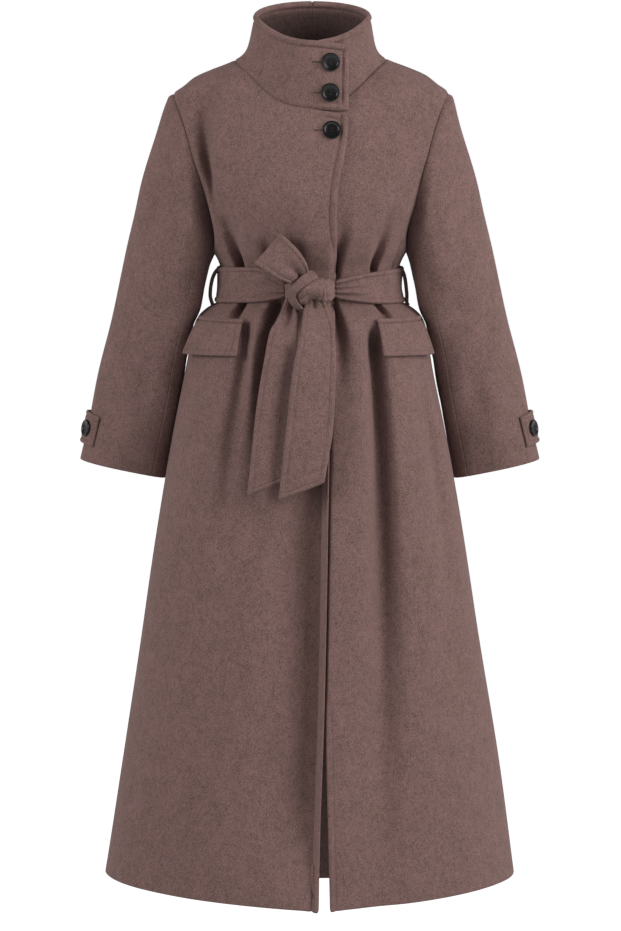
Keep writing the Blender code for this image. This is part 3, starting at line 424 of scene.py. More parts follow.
@dataclass
class Armhole:
    """The seam between body and sleeve; its turn is 0 at the shoulder tip and goes round the front."""

    tip: float = -0.051
    underarm: float = -0.288
    front_swing: float = 30.0
    back_swing: float = 28.0
    reach: float = 0.145
    hollow_depth: float = 0.022
    hollow_half: float = 0.012
    hollow_from: float = 0.35
    hollow_rise: float = 0.4
    hollow_low: float = 0.02
    left_hollow: float = 0.5

    def angle(self, turn: Points) -> Points:
        """The angle of the seam, on the wearer's left."""
        swing = np.where(np.sin(turn) > 0, self.front_swing, self.back_swing)
        return np.radians(90.0 - swing * np.sin(turn))

    def height(self, turn: Points) -> Points:
        """The height of the seam."""
        return self.tip + (self.underarm - self.tip) * 0.5 * (1.0 - np.cos(turn))

    def hollow(self, angle: Points, height: Points) -> Points:
        """How far the body sinks in along the seam, where the sleeve hangs against it.

        Args:
            angle: The angle of each point.
            height: Its height.

        Returns:
            The depth at each point.
        """
        share = np.clip((self.tip - height) / (self.tip - self.underarm), 0.0, 1.0)
        turn = np.arccos(1.0 - 2.0 * share)
        seam = self.angle(np.where(np.cos(angle) > 0, turn, -turn))
        across = (np.abs(signed_angle(angle)) - seam) * self.reach
        above = (height - self.underarm + self.hollow_low) / (2.0 * self.hollow_low)
        low = eased((share - self.hollow_from) / self.hollow_rise) * eased(above)
        low = np.where(signed_angle(angle) > 0, self.left_hollow * low, low)
        return self.hollow_depth * low * bump(across, 0.0, self.hollow_half)


ARMHOLE = Armhole()


@dataclass
class CoatForm:
    """The coat's outer surface, which every panel and everything sewn or tied on it follows."""

    overlap: float = 4.6 * MM
    overlap_from: float = -20.0
    overlap_full: float = -3.0
    edge_lift: float = 2.5 * MM
    edge_lift_width: float = 12.0
    edge_hollow: float = 0.038
    edge_hollow_from: float = 0.0075
    edge_hollow_near: float = 0.004
    edge_hollow_flat: float = 0.004
    edge_hollow_far: float = 0.068
    edge_hollow_top: float = -0.440
    edge_hollow_top_fade: float = 0.14
    edge_hollow_low: float = -1.275
    edge_hollow_low_fade: float = 0.2
    swells_from: float = 0.05
    swells_fade: float = 0.1
    step_fades_from: float = 20.0
    step_fades_to: float = 45.0
    fold_narrow: float = 0.7
    fold_wide: float = 1.25
    fold_forward: float = 1.5
    neck_half_width: float = 0.114
    neck_front: float = 0.0875
    neck_back: float = 0.0785
    neck_lowest: float = -0.070
    halvings: int = 40

    def __post_init__(self) -> None:
        """Draws the curves through the tables."""
        self.half_width = column_curve(SECTIONS, "height", "half_width")
        self.front = column_curve(SECTIONS, "height", "front")
        self.back = column_curve(SECTIONS, "height", "back")
        self.centre = column_curve(SECTIONS, "height", "centre")
        self.over_edge = column_curve(OVER_EDGE, "height", "out")
        self.under_edge = column_curve(UNDER_EDGE, "height", "out")

    def body(self, angle: Points, height: Points) -> Points:
        """The smooth surface, with no folds."""
        angle, height = np.broadcast_arrays(angle, height)
        cosine = np.cos(angle)
        depth = np.where(cosine > 0, self.front(height), self.back(height))
        out = self.half_width(height) * np.sin(angle)
        return np.stack([out, self.centre(height) - depth * cosine, height], axis=-1)

    def fold_depth(self, angle: Points, height: Points) -> Points:
        """How far the folds and the slow swells draw the surface in.

        Args:
            angle: The angle of each point.
            height: The height of each point.

        Returns:
            The depth at each point.
        """
        total = np.zeros(np.broadcast(angle, height).shape)
        for fold in FOLDS:
            share = (height - fold.start) / (fold.end - fold.start)
            before = -share * abs(fold.end - fold.start)
            strength = np.where(share > 0, 1.0 - eased(share), eased(1.0 - before / fold.rise))
            held = np.clip(share, 0.0, 1.0)
            middle = np.radians(fold.angle + (fold.end_angle - fold.angle) * held)
            widening = (self.fold_wide - self.fold_narrow) * eased(2 * held)
            spread = fold.half_angle * (self.fold_narrow + widening)
            across = signed_angle(angle - middle) / np.radians(spread)
            total = total + fold.depth * strength * np.exp(-across * across)
        from_belt = np.abs(height - 0.5 * (BELT_TOP + BELT_BOTTOM))
        clear = eased((from_belt - self.swells_from) / self.swells_fade)
        total = total + clear * swelling(SWELLS, angle, height)
        return total + ARMHOLE.hollow(angle, height) + self._edge_hollow(angle, height)

    def _edge_hollow(self, angle: Points, height: Points) -> Points:
        """The long hollow beside the turned edge of the right front, down the skirt."""
        half_width = self.half_width(height)
        edge = np.arcsin(self.over_edge(height) / half_width)
        past = (edge - signed_angle(angle)) * half_width - self.edge_hollow_from
        width = np.where(past > 0, self.edge_hollow_far, self.edge_hollow_near)
        past = np.where(past > 0, np.maximum(past - self.edge_hollow_flat, 0.0), past)
        held = eased((self.edge_hollow_top - height) / self.edge_hollow_top_fade)
        held = held * eased((height - self.edge_hollow_low) / self.edge_hollow_low_fade)
        return self.edge_hollow * held * bump(past, 0.0, width)

    def under(self, angle: Points, height: Points) -> Points:
        """The surface with its folds."""
        angle, height = np.broadcast_arrays(angle, height)
        ahead = self.fold_forward * eased(2.0 * np.cos(angle))[..., None] * FORWARD
        way = unit(normals(self.body, angle, height) + ahead)
        return self.body(angle, height) - self.fold_depth(angle, height)[..., None] * way

    def step(self, angle: Points) -> Points:
        """How far the right front stands out where it lies on the left one."""
        degrees = np.degrees(signed_angle(angle))
        out = self.overlap * eased((degrees - self.overlap_from) / (self.overlap_full - self.overlap_from))
        return np.where(np.cos(angle) > 0, out, 0.0)

    def over(self, angle: Points, height: Points) -> Points:
        """The right front's surface: it steps up over the left one and its edge lifts on the skirt."""
        angle, height = np.broadcast_arrays(angle, height)
        edge = np.arcsin(self.over_edge(height) / self.half_width(height))
        near_edge = eased(1.0 - np.degrees(edge - signed_angle(angle)) / self.edge_lift_width)
        on_skirt = eased((BELT_BOTTOM - height) / -BELT_BOTTOM)
        out = self.step(angle) + self.edge_lift * near_edge * on_skirt
        return self.under(angle, height) + out[..., None] * normals(self.under, angle, height)

    def envelope(self, angle: Points, height: Points) -> Points:
        """What lies on the coat rests on this: no folds, over the right front's step."""
        angle, height = np.broadcast_arrays(angle, height)
        degrees = np.degrees(signed_angle(angle))
        fade = 1.0 - eased((degrees - self.step_fades_from) / (self.step_fades_to - self.step_fades_from))
        out = self.step(angle) * fade
        return self.body(angle, height) + out[..., None] * normals(self.body, angle, height)

    def angle_at(self, out: Points, height: Points) -> Points:
        """The angle at which the front of the surface lies this far out to the side."""
        return np.arcsin(out / self.half_width(height))

    def neck_height(self, angle: Points) -> Points:
        """The height where the neck's oval, seen from above, crosses the surface.

        Args:
            angle: The angle of each point.

        Returns:
            The height of the neck seam there.
        """
        angle = np.asarray(angle, float)
        low = np.full(angle.shape, self.neck_lowest)
        high = np.full(angle.shape, SECTIONS[0].height)
        across, along = np.sin(angle) / self.neck_half_width, np.cos(angle)
        along = along / np.where(along > 0, self.neck_front, self.neck_back)
        for _ in range(self.halvings):
            middle = 0.5 * (low + high)
            depth = np.where(along > 0, self.front(middle), self.back(middle))
            outside = (self.half_width(middle) * across) ** 2 + (depth * along) ** 2 > 1.0
            low = np.where(outside, middle, low)
            high = np.where(outside, high, middle)
        return 0.5 * (low + high)

    def top_edge_angle(self, over: bool) -> float:
        """The angle of a front edge at the neck."""
        height = self.neck_height(0.0)
        return float(self.angle_at((self.over_edge if over else self.under_edge)(height), height))


FORM = CoatForm()


# Shading


class Value:
    """A socket's output in a finish, on which sums are written as on a number."""

    def __init__(self, shading: "Shading", socket: bpy.types.NodeSocket) -> None:
        """Keeps the socket and the finish that it is part of."""
        self.shading = shading
        self.socket = socket

    def _math(self, operation: str, first: "Value | float", second: "Value | float") -> "Value":
        """A Math node on two values."""
        return self.shading.node("ShaderNodeMath", {"operation": operation}, {0: first, 1: second})

    def __add__(self, other: "Value | float") -> "Value":
        """This plus another."""
        return self._math("ADD", self, other)

    def __sub__(self, other: "Value | float") -> "Value":
        """This less another."""
        return self._math("SUBTRACT", self, other)

    def __rsub__(self, other: float) -> "Value":
        """A number less this."""
        return self._math("SUBTRACT", other, self)

    def __mul__(self, other: "Value | float") -> "Value":
        """This times another."""
        return self._math("MULTIPLY", self, other)

    __radd__, __rmul__ = __add__, __mul__


class Shading:
    """The nodes of one finish."""

    def __init__(self, name: str) -> None:
        """Starts a finish with its shader.

        Args:
            name: The finish's name.
        """
        self.material = bpy.data.materials.new(name)
        self.material.use_nodes = True
        self.tree = self.material.node_tree
        self.shader = self.tree.nodes["Principled BSDF"]

    def node(
        self,
        kind: str,
        settings: dict[str, object],
        inputs: dict[str | int, "Value | float | tuple[float, ...]"],
        output: str | int = 0,
    ) -> Value:
        """Adds a node.

        Args:
            kind: The node's type.
            settings: Its own settings, set first.
            inputs: The values or links of its sockets.
            output: Which of its outputs is wanted.

        Returns:
            That output.
        """
        node = self.tree.nodes.new(kind)
        for name, setting in settings.items():
            setattr(node, name, setting)
        for name, value in inputs.items():
            self.feed(node.inputs[name], value)
        return Value(self, node.outputs[output])

    def feed(self, socket: bpy.types.NodeSocket, value: "Value | float | tuple[float, ...]") -> None:
        """Links a value to a socket, or sets the socket to a plain one."""
        if isinstance(value, Value):
            self.tree.links.new(value.socket, socket)
        else:
            socket.default_value = value

    def noise(self, place: Value, scale: float, detail: float, roughness: float) -> Value:
        """A noise pattern."""
        sockets = {"Vector": place, "Scale": scale, "Detail": detail, "Roughness": roughness}
        return self.node("ShaderNodeTexNoise", {}, sockets, "Fac")

    def mix(self, share: Value, first: "Value | tuple", second: "Value | tuple") -> Value:
        """A colour between two others."""
        settings = {"data_type": "RGBA", "clamp_factor": True}
        return self.node("ShaderNodeMix", settings, {0: share, 6: first, 7: second}, 2)

    def dress(self, inputs: dict[str, "Value | float | tuple[float, ...]"]) -> bpy.types.Material:
        """Sets the shader's sockets.

        Args:
            inputs: The values or links of the sockets.

        Returns:
            The finished material.
        """
        for name, value in inputs.items():
            self.feed(self.shader.inputs[name], value)
        return self.material


def linear(red: int, green: int, blue: int) -> tuple[float, float, float, float]:
    """A screen colour from 0 to 255 as a linear one."""
    shares = [part / 255.0 for part in (red, green, blue)]
    light = [s / 12.92 if s <= 0.04045 else ((s + 0.055) / 1.055) ** 2.4 for s in shares]
    return (*light, 1.0)


@dataclass(frozen=True)
class WoolCloth:
    """Felted wool coating in a heathered dusty mauve-brown."""

    name: str = "wool"
    shade: tuple[int, int, int] = (74, 53, 49)
    tint: tuple[int, int, int] = (146, 117, 112)
    drab: tuple[int, int, int] = (110, 89, 80)
    mauve: tuple[int, int, int] = (122, 89, 89)
    # Painted shade: the near-black colour mixed in where the inside of the collar lies in shade.
    painted_shade: tuple[int, int, int] = (8, 5, 5)
    fleck_scale: float = 700.0
    fibre_scale: float = 2200.0
    drift_scale: float = 45.0
    blotch_scale: float = 150.0
    comb: tuple[float, float, float] = (1.0, 1.0, 0.7)
    fleck_tone: float = 2.2
    fibre_tone: float = 1.2
    drift_tone: float = 0.3
    blotch_tone: float = 0.6
    drift_hue: float = 1.8
    blotch_hue: float = 1.0
    dye_share: float = 0.3
    blotch_dye: float = 0.3
    fleck_nap: float = 0.55
    fibre_nap: float = 0.45
    nap_depth: float = 0.9 * MM
    sheen: float = 0.10

    def make(self) -> bpy.types.Material:
        """Builds the finish."""
        shading = Shading(self.name)
        place = shading.node("ShaderNodeTexCoord", {}, {}, "Object")
        combed = shading.node("ShaderNodeMapping", {}, {"Vector": place, "Scale": self.comb})
        fleck = shading.noise(combed, self.fleck_scale, 2.0, 0.55)
        fibre = shading.noise(combed, self.fibre_scale, 2.0, 0.6)
        drift = shading.noise(combed, self.drift_scale, 2.0, 0.5)
        blotch = shading.noise(combed, self.blotch_scale, 2.0, 0.6)
        tone = 0.5 + (fleck - 0.5) * self.fleck_tone + (fibre - 0.5) * self.fibre_tone
        tone = tone + (drift - 0.5) * self.drift_tone + (blotch - 0.5) * self.blotch_tone
        heather = shading.mix(tone, linear(*self.shade), linear(*self.tint))
        hue = 0.5 + (drift - 0.5) * self.drift_hue + (blotch - 0.5) * self.blotch_hue
        dye = shading.mix(hue, linear(*self.drab), linear(*self.mauve))
        colour = shading.mix(self.dye_share + (blotch - 0.5) * self.blotch_dye, heather, dye)
        # Painted shade: the colour is mixed towards near-black by the piece's own attribute, which only the
        # collar's inner face sets, where its hollow lies in shade.
        deep = shading.node("ShaderNodeAttribute", {"attribute_name": PAINTED_SHADE_ATTRIBUTE}, {}, "Fac")
        colour = shading.mix(deep, colour, linear(*self.painted_shade))
        height = fleck * self.fleck_nap + fibre * self.fibre_nap
        nap = shading.node(
            "ShaderNodeBump", {}, {"Strength": 0.5, "Distance": self.nap_depth, "Height": height}
        )
        return shading.dress({
            "Base Color": colour,
            "Roughness": 0.9 + (fleck - 0.5) * 0.15,
            "Normal": nap,
            "Specular IOR Level": 0.18,
            "Sheen Weight": self.sheen,
            "Sheen Roughness": 0.5,
            "Sheen Tint": (0.85, 0.74, 0.72, 1.0),
        })


@dataclass(frozen=True)
class SewingThread:
    """Matt sewing thread, a shade darker than the cloth."""

    name: str = "sewing_thread"
    shade: tuple[int, int, int] = (82, 61, 58)
    tint: tuple[int, int, int] = (112, 88, 84)
    twist_scale: float = 2600.0
    twist_tone: float = 1.8

    def make(self) -> bpy.types.Material:
        """Builds the finish."""
        shading = Shading(self.name)
        place = shading.node("ShaderNodeTexCoord", {}, {}, "Object")
        twist = shading.noise(place, self.twist_scale, 2.0, 0.6)
        tone = 0.5 + (twist - 0.5) * self.twist_tone
        colour = shading.mix(tone, linear(*self.shade), linear(*self.tint))
        ply = shading.node("ShaderNodeBump", {}, {"Strength": 0.4, "Distance": 0.2 * MM, "Height": twist})
        return shading.dress({"Base Color": colour, "Roughness": 0.7 + (twist - 0.5) * 0.2, "Normal": ply})


# Near-black thread: the buttons' own thread, and also painted shade laid along the buttonholes' slits.
DARK_THREAD_AND_SLIT_SHADE = SewingThread("dark_thread", (5, 4, 4), (14, 11, 11))


@dataclass(frozen=True)
class PolishedResin:
    """Near-black resin with a soft polish and faint scuffs."""

    name: str = "button_resin"
    dark: tuple[int, int, int] = (4, 4, 5)
    pale: tuple[int, int, int] = (10, 10, 10)
    scuff_scale: float = 240.0
    grain_scale: float = 2160.0
    tone: float = 0.4
    scuff_tone: float = 1.6
    polish: float = 0.24
    scuff_polish: float = 0.16

    def make(self) -> bpy.types.Material:
        """Builds the finish."""
        shading = Shading(self.name)
        place = shading.node("ShaderNodeTexCoord", {}, {}, "Object")
        scuff = shading.noise(place, self.scuff_scale, 5.0, 0.65)
        grain = shading.noise(place, self.grain_scale, 2.0, 0.5)
        tone = self.tone + (scuff - 0.5) * self.scuff_tone
        colour = shading.mix(tone, linear(*self.dark), linear(*self.pale))
        worn = shading.node("ShaderNodeBump", {}, {"Strength": 0.12, "Distance": 0.1 * MM, "Height": grain})
        roughness = self.polish + (scuff - 0.5) * self.scuff_polish
        polish = {"Roughness": roughness, "Specular IOR Level": 0.3}
        return shading.dress({"Base Color": colour, "Normal": worn, **polish})


@dataclass(frozen=True)
class PaleFloor:
    """A plain pale floor."""

    name: str = "pale_floor"
    pale: tuple[int, int, int] = (254, 254, 254)
    glow: float = 0.66

    def make(self) -> bpy.types.Material:
        """Builds the finish; a little glow keeps it even out to the horizon."""
        shading = Shading(self.name)
        pale = linear(*self.pale)
        return shading.dress({
            "Base Color": pale, "Roughness": 0.9, "Emission Color": pale, "Emission Strength": self.glow
        })


# Cloth pieces


def add_mesh(
    name: str, points: Points, faces: list[tuple[int, ...]], material: bpy.types.Material
) -> bpy.types.Object:
    """A smooth mesh object that faces out.

    Args:
        name: The piece's name.
        points: Its points.
        faces: Its faces.
        material: Its finish.

    Returns:
        The object.
    """
    volume = 0.0
    for size in {len(face) for face in faces}:
        corners = points[np.array([face for face in faces if len(face) == size])]
        for place in range(1, size - 1):
            volume += float(np.sum(corners[:, 0] * np.cross(corners[:, place], corners[:, place + 1])))
    if volume < 0:
        faces = [face[::-1] for face in faces]
    mesh = bpy.data.meshes.new(name)
    mesh.from_pydata(points.tolist(), [], faces)
    mesh.shade_smooth()
    mesh.materials.append(material)
    piece = bpy.data.objects.new(name, mesh)
    bpy.context.scene.collection.objects.link(piece)
    return piece


def attach(piece: bpy.types.Object, slot: Slot) -> None:
    """Fixes a piece to the coat's one body."""
    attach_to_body(piece, BODY)


def strips(lines: Sequence[Points], closed: bool) -> list[tuple[int, ...]]:
    """The four-sided faces between each line of point numbers and the next.

    Args:
        lines: The lines.
        closed: Whether each line runs all the way round.

    Returns:
        The faces.
    """
    faces: list[tuple[int, ...]] = []
    for first, second in zip(lines[:-1], lines[1:]):
        quads = np.stack([first, np.roll(first, -1), np.roll(second, -1), second], axis=-1).tolist()
        faces += [tuple(quad) for quad in (quads if closed else quads[:-1])]
    return faces


@dataclass
class ClothWall:
    """A closed cloth wall between an outer and an inner grid of points.

    Its edges are rolled, or flat where they are sewn to another piece: the roll is 1 or 0 at each point. Its
    inner face takes painted shade where it lies deep, from 0 to 1 at each point.
    """

    name: str
    outer: Points
    inner: Points
    roll: Points | None = None
    ring: bool = False
    rim_steps: int = 6
    # How much painted shade the inner face takes at each point, from 0 to 1.
    deep: Points | None = None

    def _loops(self) -> list[Points]:
        """The edge loops, as the row and column of each of their points."""
        top, last = self.outer.shape[0] - 1, self.outer.shape[1] - 1
        if self.ring:
            loops = [[(row, column) for column in range(last + 1)] for row in (0, top)]
            return [np.array(loops[0]), np.array(loops[1][::-1])]
        loop = [(0, column) for column in range(last)] + [(row, last) for row in range(top)]
        loop += [(top, column) for column in range(last, 0, -1)] + [(row, 0) for row in range(top, 0, -1)]
        return [np.array(loop)]

    def _rim(self, loop: Points) -> Points:
        """The points of a rolled edge, from the outer face to the inner one.

        Args:
            loop: The edge's loop.

        Returns:
            The points, by step and place.
        """
        rows, columns = self.outer.shape[:2]
        side = 0 if self.ring else 1
        place, near = tuple(loop.T), tuple(np.clip(loop, (1, side), (rows - 2, columns - 1 - side)).T)
        middle, half = 0.5 * (self.outer + self.inner), 0.5 * (self.outer - self.inner)[place]
        way = square_to(middle[place] - middle[near], unit(half))
        way = way * np.linalg.norm(half, axis=-1, keepdims=True)
        if self.roll is not None:
            way = way * self.roll[place][:, None]
        turns = np.linspace(0.0, math.pi, self.rim_steps + 1)[1:-1, None, None]
        return middle[place] + np.cos(turns) * half + np.sin(turns) * way

    def build(self, material: bpy.types.Material) -> bpy.types.Object:
        """Builds the wall.

        Args:
            material: Its finish.

        Returns:
            The object.
        """
        rows, columns = self.outer.shape[:2]
        outside = np.arange(rows * columns).reshape(rows, columns)
        inside = outside + outside.size
        points = [self.outer.reshape(-1, 3), self.inner.reshape(-1, 3)]
        faces = strips(outside, self.ring) + strips(inside[::-1], self.ring)
        count = 2 * outside.size
        for loop in self._loops():
            rim = self._rim(loop)
            points.append(rim.reshape(-1, 3))
            steps = count + np.arange(rim.size // 3).reshape(rim.shape[:2])
            place = tuple(loop.T)
            faces += strips([inside[place], *steps[::-1], outside[place]], True)
            count += steps.size
        piece = add_mesh(self.name, np.concatenate(points), faces, material)
        # Painted shade: the inner face's shares are stored as the attribute that darkens the wool.
        if self.deep is not None:
            shares = np.zeros(count)
            shares[inside] = self.deep
            piece.data.attributes.new(PAINTED_SHADE_ATTRIBUTE, "FLOAT", "POINT").data.foreach_set("value", shares)
        return piece

    def cut(self) -> tuple[tuple[float, float], float]:
        """The flat cut, from the lengths of the middle surface and half of each rolled edge.

        Returns:
            Width and length, and area.
        """
        grid = 0.5 * (self.outer + self.inner)
        grid = np.concatenate([grid, grid[:, :1]], axis=1) if self.ring else grid
        edges = 0.5 * math.pi * float(np.linalg.norm(self.outer - self.inner, axis=-1).mean())
        sides = 0.0 if self.ring else edges
        width = float(Edge.FIRST.lengths(grid)[:, -1].max()) + sides
        length = float(Edge.BOTTOM.lengths(grid)[-1].max()) + edges
        patches = np.cross(grid[1:, 1:] - grid[:-1, :-1], grid[1:, :-1] - grid[:-1, 1:])
        area = float(0.5 * np.linalg.norm(patches, axis=-1).sum()) + edges * width + sides * length
        return (width, length), min(area, width * length)


@dataclass(frozen=True)
class Seam:
    """The edge that two sewn pieces share. It lies in a shallow groove, and both walls are mitred to it."""

    sink: float = 1.4 * MM
    half_width: float = 1.7 * MM
    least_reach: float = 0.6

    def groove(self, distance: Points) -> Points:
        """The height of the surface by its distance from the seam."""
        return -self.sink * bump(distance, 0.0, self.half_width)

    def edge(self, line: Points, own: Points, other: Points, thickness: float) -> tuple[Points, Points]:
        """The outer and inner points of a wall's sewn edge.

        Args:
            line: The seam.
            own: The wall's normals there.
            other: The normals of what it is sewn to.
            thickness: The wall's thickness.

        Returns:
            The outer points and the inner points.
        """
        way = unit(own + other)
        reach = np.maximum(np.sum(way * own, axis=-1, keepdims=True), self.least_reach)
        return line - self.sink * way, line - thickness * way / reach


SEWN = Seam()
PRESSED = Seam(0.15 * MM, 1.0 * MM)


class StitchRun(NamedTuple):
    """A line that stitches follow, with the surface's normals along it."""

    line: Points
    up: Points

    def facing(self, way: Points) -> "StitchRun":
        """The same line, with its normals on the given side of the surface."""
        return StitchRun(self.line, self.up * np.sign(np.sum(self.up * way, axis=-1))[..., None])

    def only(self, keep: Points) -> "StitchRun":
        """The points of the line that are kept."""
        return StitchRun(self.line[keep], self.up[keep])

    def trimmed(self, start: float, end: float) -> "StitchRun":
        """The line with a length cut off at its start and its end.

        Args:
            start: The length at its start.
            end: The length at its end.

        Returns:
            The shorter line.
        """
        along = path_lengths(self.line)
        places = np.linspace(start, along[-1] - end, max(len(along), LEAST_RUN))
        return StitchRun(sampled(places, along, self.line), unit(sampled(places, along, self.up)))


@dataclass(frozen=True)
class Topstitch:
    """A line of stitches along an edge: it pulls a groove, and the cloth swells between it and the edge."""

    inset: float = 9.5 * MM
    depth: float = 1.5 * MM
    half_width: float = 1.7 * MM
    swell: float = 1.8 * MM
    fullest: float = 0.75

    def relief(self, distance: Points) -> Points:
        """The height of the surface by its distance from the edge."""
        groove = self.depth * bump(distance, self.inset, self.half_width)
        share = np.clip(distance / self.inset, 0.0, 1.0)
        return self.swell * np.sin(math.pi * share**self.fullest) - groove

    def run(self, edge: Edge, grid: Points, distances: Points, guide: Points) -> StitchRun:
        """The line of stitches along an edge.

        Args:
            edge: The edge.
            grid: The cloth's outer grid.
            distances: Each point's distance from the edge.
            guide: A way on the side where the stitches show.

        Returns:
            The line, with a point for each row or column that it crosses.
        """
        grid, distances = edge.first(grid), edge.first(distances)
        places = np.array([np.interp(self.inset, row, np.arange(len(row))) for row in distances])
        low = np.minimum(places.astype(int), grid.shape[1] - 2)
        part, rows = (places - low)[:, None], np.arange(len(grid))
        sheets = (grid, grid_normals(grid))
        line, up = (sheet[rows, low] * (1.0 - part) + sheet[rows, low + 1] * part for sheet in sheets)
        return StitchRun(line, unit(up)).facing(guide)

    def runs(self, grid: Points, guide: Points, *sides: tuple[Edge, Points, float]) -> list[StitchRun]:
        """Lines of stitches along edges, each with its distances and the length free at its start."""
        return [self.run(edge, grid, reach, guide).trimmed(free, self.inset) for edge, reach, free in sides]


@dataclass
class Stitching:
    """Rows of short stitches, each a small bent thread that dips into the cloth at both ends."""

    name: str
    runs: Sequence[StitchRun]
    pitch: float = 4.0 * MM
    length: float = 3.1 * MM
    radius: float = 0.36 * MM
    dip: float = 0.55 * MM
    proud: float = 0.2
    sides: int = 5
    rings: int = 4
    ahead: float = 0.3

    def _thread(self) -> tuple[Points, list[tuple[int, ...]]]:
        """One stitch along X with Z up.

        Returns:
            Its points and faces.
        """
        points = []
        for place in np.linspace(-1.0, 1.0, self.rings + 2):
            across = self.radius * math.sqrt(1.0 - place * place)
            rise = self.proud * self.radius - self.dip * place * place
            for turn in round_turns(1 if abs(place) == 1.0 else self.sides):
                side, top = across * math.cos(turn), rise + across * math.sin(turn)
                points.append((0.5 * self.length * place, side, top))
        lines = 1 + np.arange(self.rings * self.sides).reshape(self.rings, self.sides)
        last = len(points) - 1
        faces = strips(lines, True)
        for tip, line in ((0, lines[0, ::-1]), (last, lines[-1])):
            faces += [(tip, *pair) for pair in zip(line.tolist(), np.roll(line, -1).tolist())]
        return np.array(points), faces

    def build(self, material: bpy.types.Material) -> bpy.types.Object:
        """Builds every stitch in one mesh.

        Args:
            material: The thread's finish.

        Returns:
            The object.
        """
        thread, faces = self._thread()
        ahead = self.ahead * self.pitch
        rows = []
        for run in self.runs:
            along = path_lengths(run.line)
            count = max(int(along[-1] / self.pitch), 1)
            places = (np.arange(count) + 0.5) * along[-1] / count
            way = unit(sampled(places + ahead, along, run.line) - sampled(places - ahead, along, run.line))
            up = square_to(sampled(places, along, run.up), way)
            frames = np.stack([way, np.cross(up, way), up], axis=1)
            rows.append(sampled(places, along, run.line)[:, None] + np.einsum("vi,sij->svj", thread, frames))
        points = np.concatenate(rows).reshape(-1, 3)
        starts = range(0, len(points), len(thread))
        all_faces = [tuple(start + corner for corner in face) for start in starts for face in faces]
        return add_mesh(self.name, points, all_faces, material)


@dataclass
class Tailor:
    """Builds cloth pieces, logs the size of their cut and keeps count of what has been made."""

    wool: bpy.types.Material
    thread: bpy.types.Material
    dark_thread: bpy.types.Material
    made: int = 0

    def sew(
        self,
        wall: ClothWall,
        hold: Hold,
        nodes: Sequence[str],
        runs: Sequence[StitchRun] = (),
        extras: Sequence[bpy.types.Object] = (),
    ) -> None:
        """Builds one cloth piece with its stitches.

        Args:
            wall: The piece's wall.
            hold: How it is held; not used.
            nodes: The CAD nodes that it stands for.
            runs: The lines of stitches on it.
            extras: What else is worked on it.
        """
        piece = wall.build(self.wool)
        attach(piece, Slot.WOOL)
        if nodes:
            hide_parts(*nodes)
        worked = list(extras)
        if runs:
            worked.append(Stitching(f"{wall.name}_stitches", runs).build(self.thread))
            attach(worked[-1], Slot.WOOL)
        flat, area = wall.cut()
        self.made += 1
        size = f"{flat[0] / MM:.0f} x {flat[1] / MM:.0f} mm"
        LOG.info("%s: cut %s, %d faces", wall.name, size, len(piece.data.polygons))


@dataclass
class Sewn:
    """A part of the coat, with who sews it."""

    tailor: Tailor


# Body panels

HEM_EDGE = in_mm(0.0, 4.0, 8.0, 13.0, 20.0)
SEAM_EDGE = in_mm(0.0, 1.3, 2.6, 4.2, 6.8, 10.5)
FRONT_EDGE = in_mm(
    0.0, 2.2, 3.4, 4.8, 6.2, 7.4, 8.2, 8.9, 9.5, 10.1, 10.8, 11.8, 13.5, 16.0, 19.5, 24.0
)
TOP_EDGE = in_mm(0.0, 2.2, 3.6, 5.0, 6.4, 7.6, 8.4, 9.1, 9.9, 11.2, 13.5, 17.0)


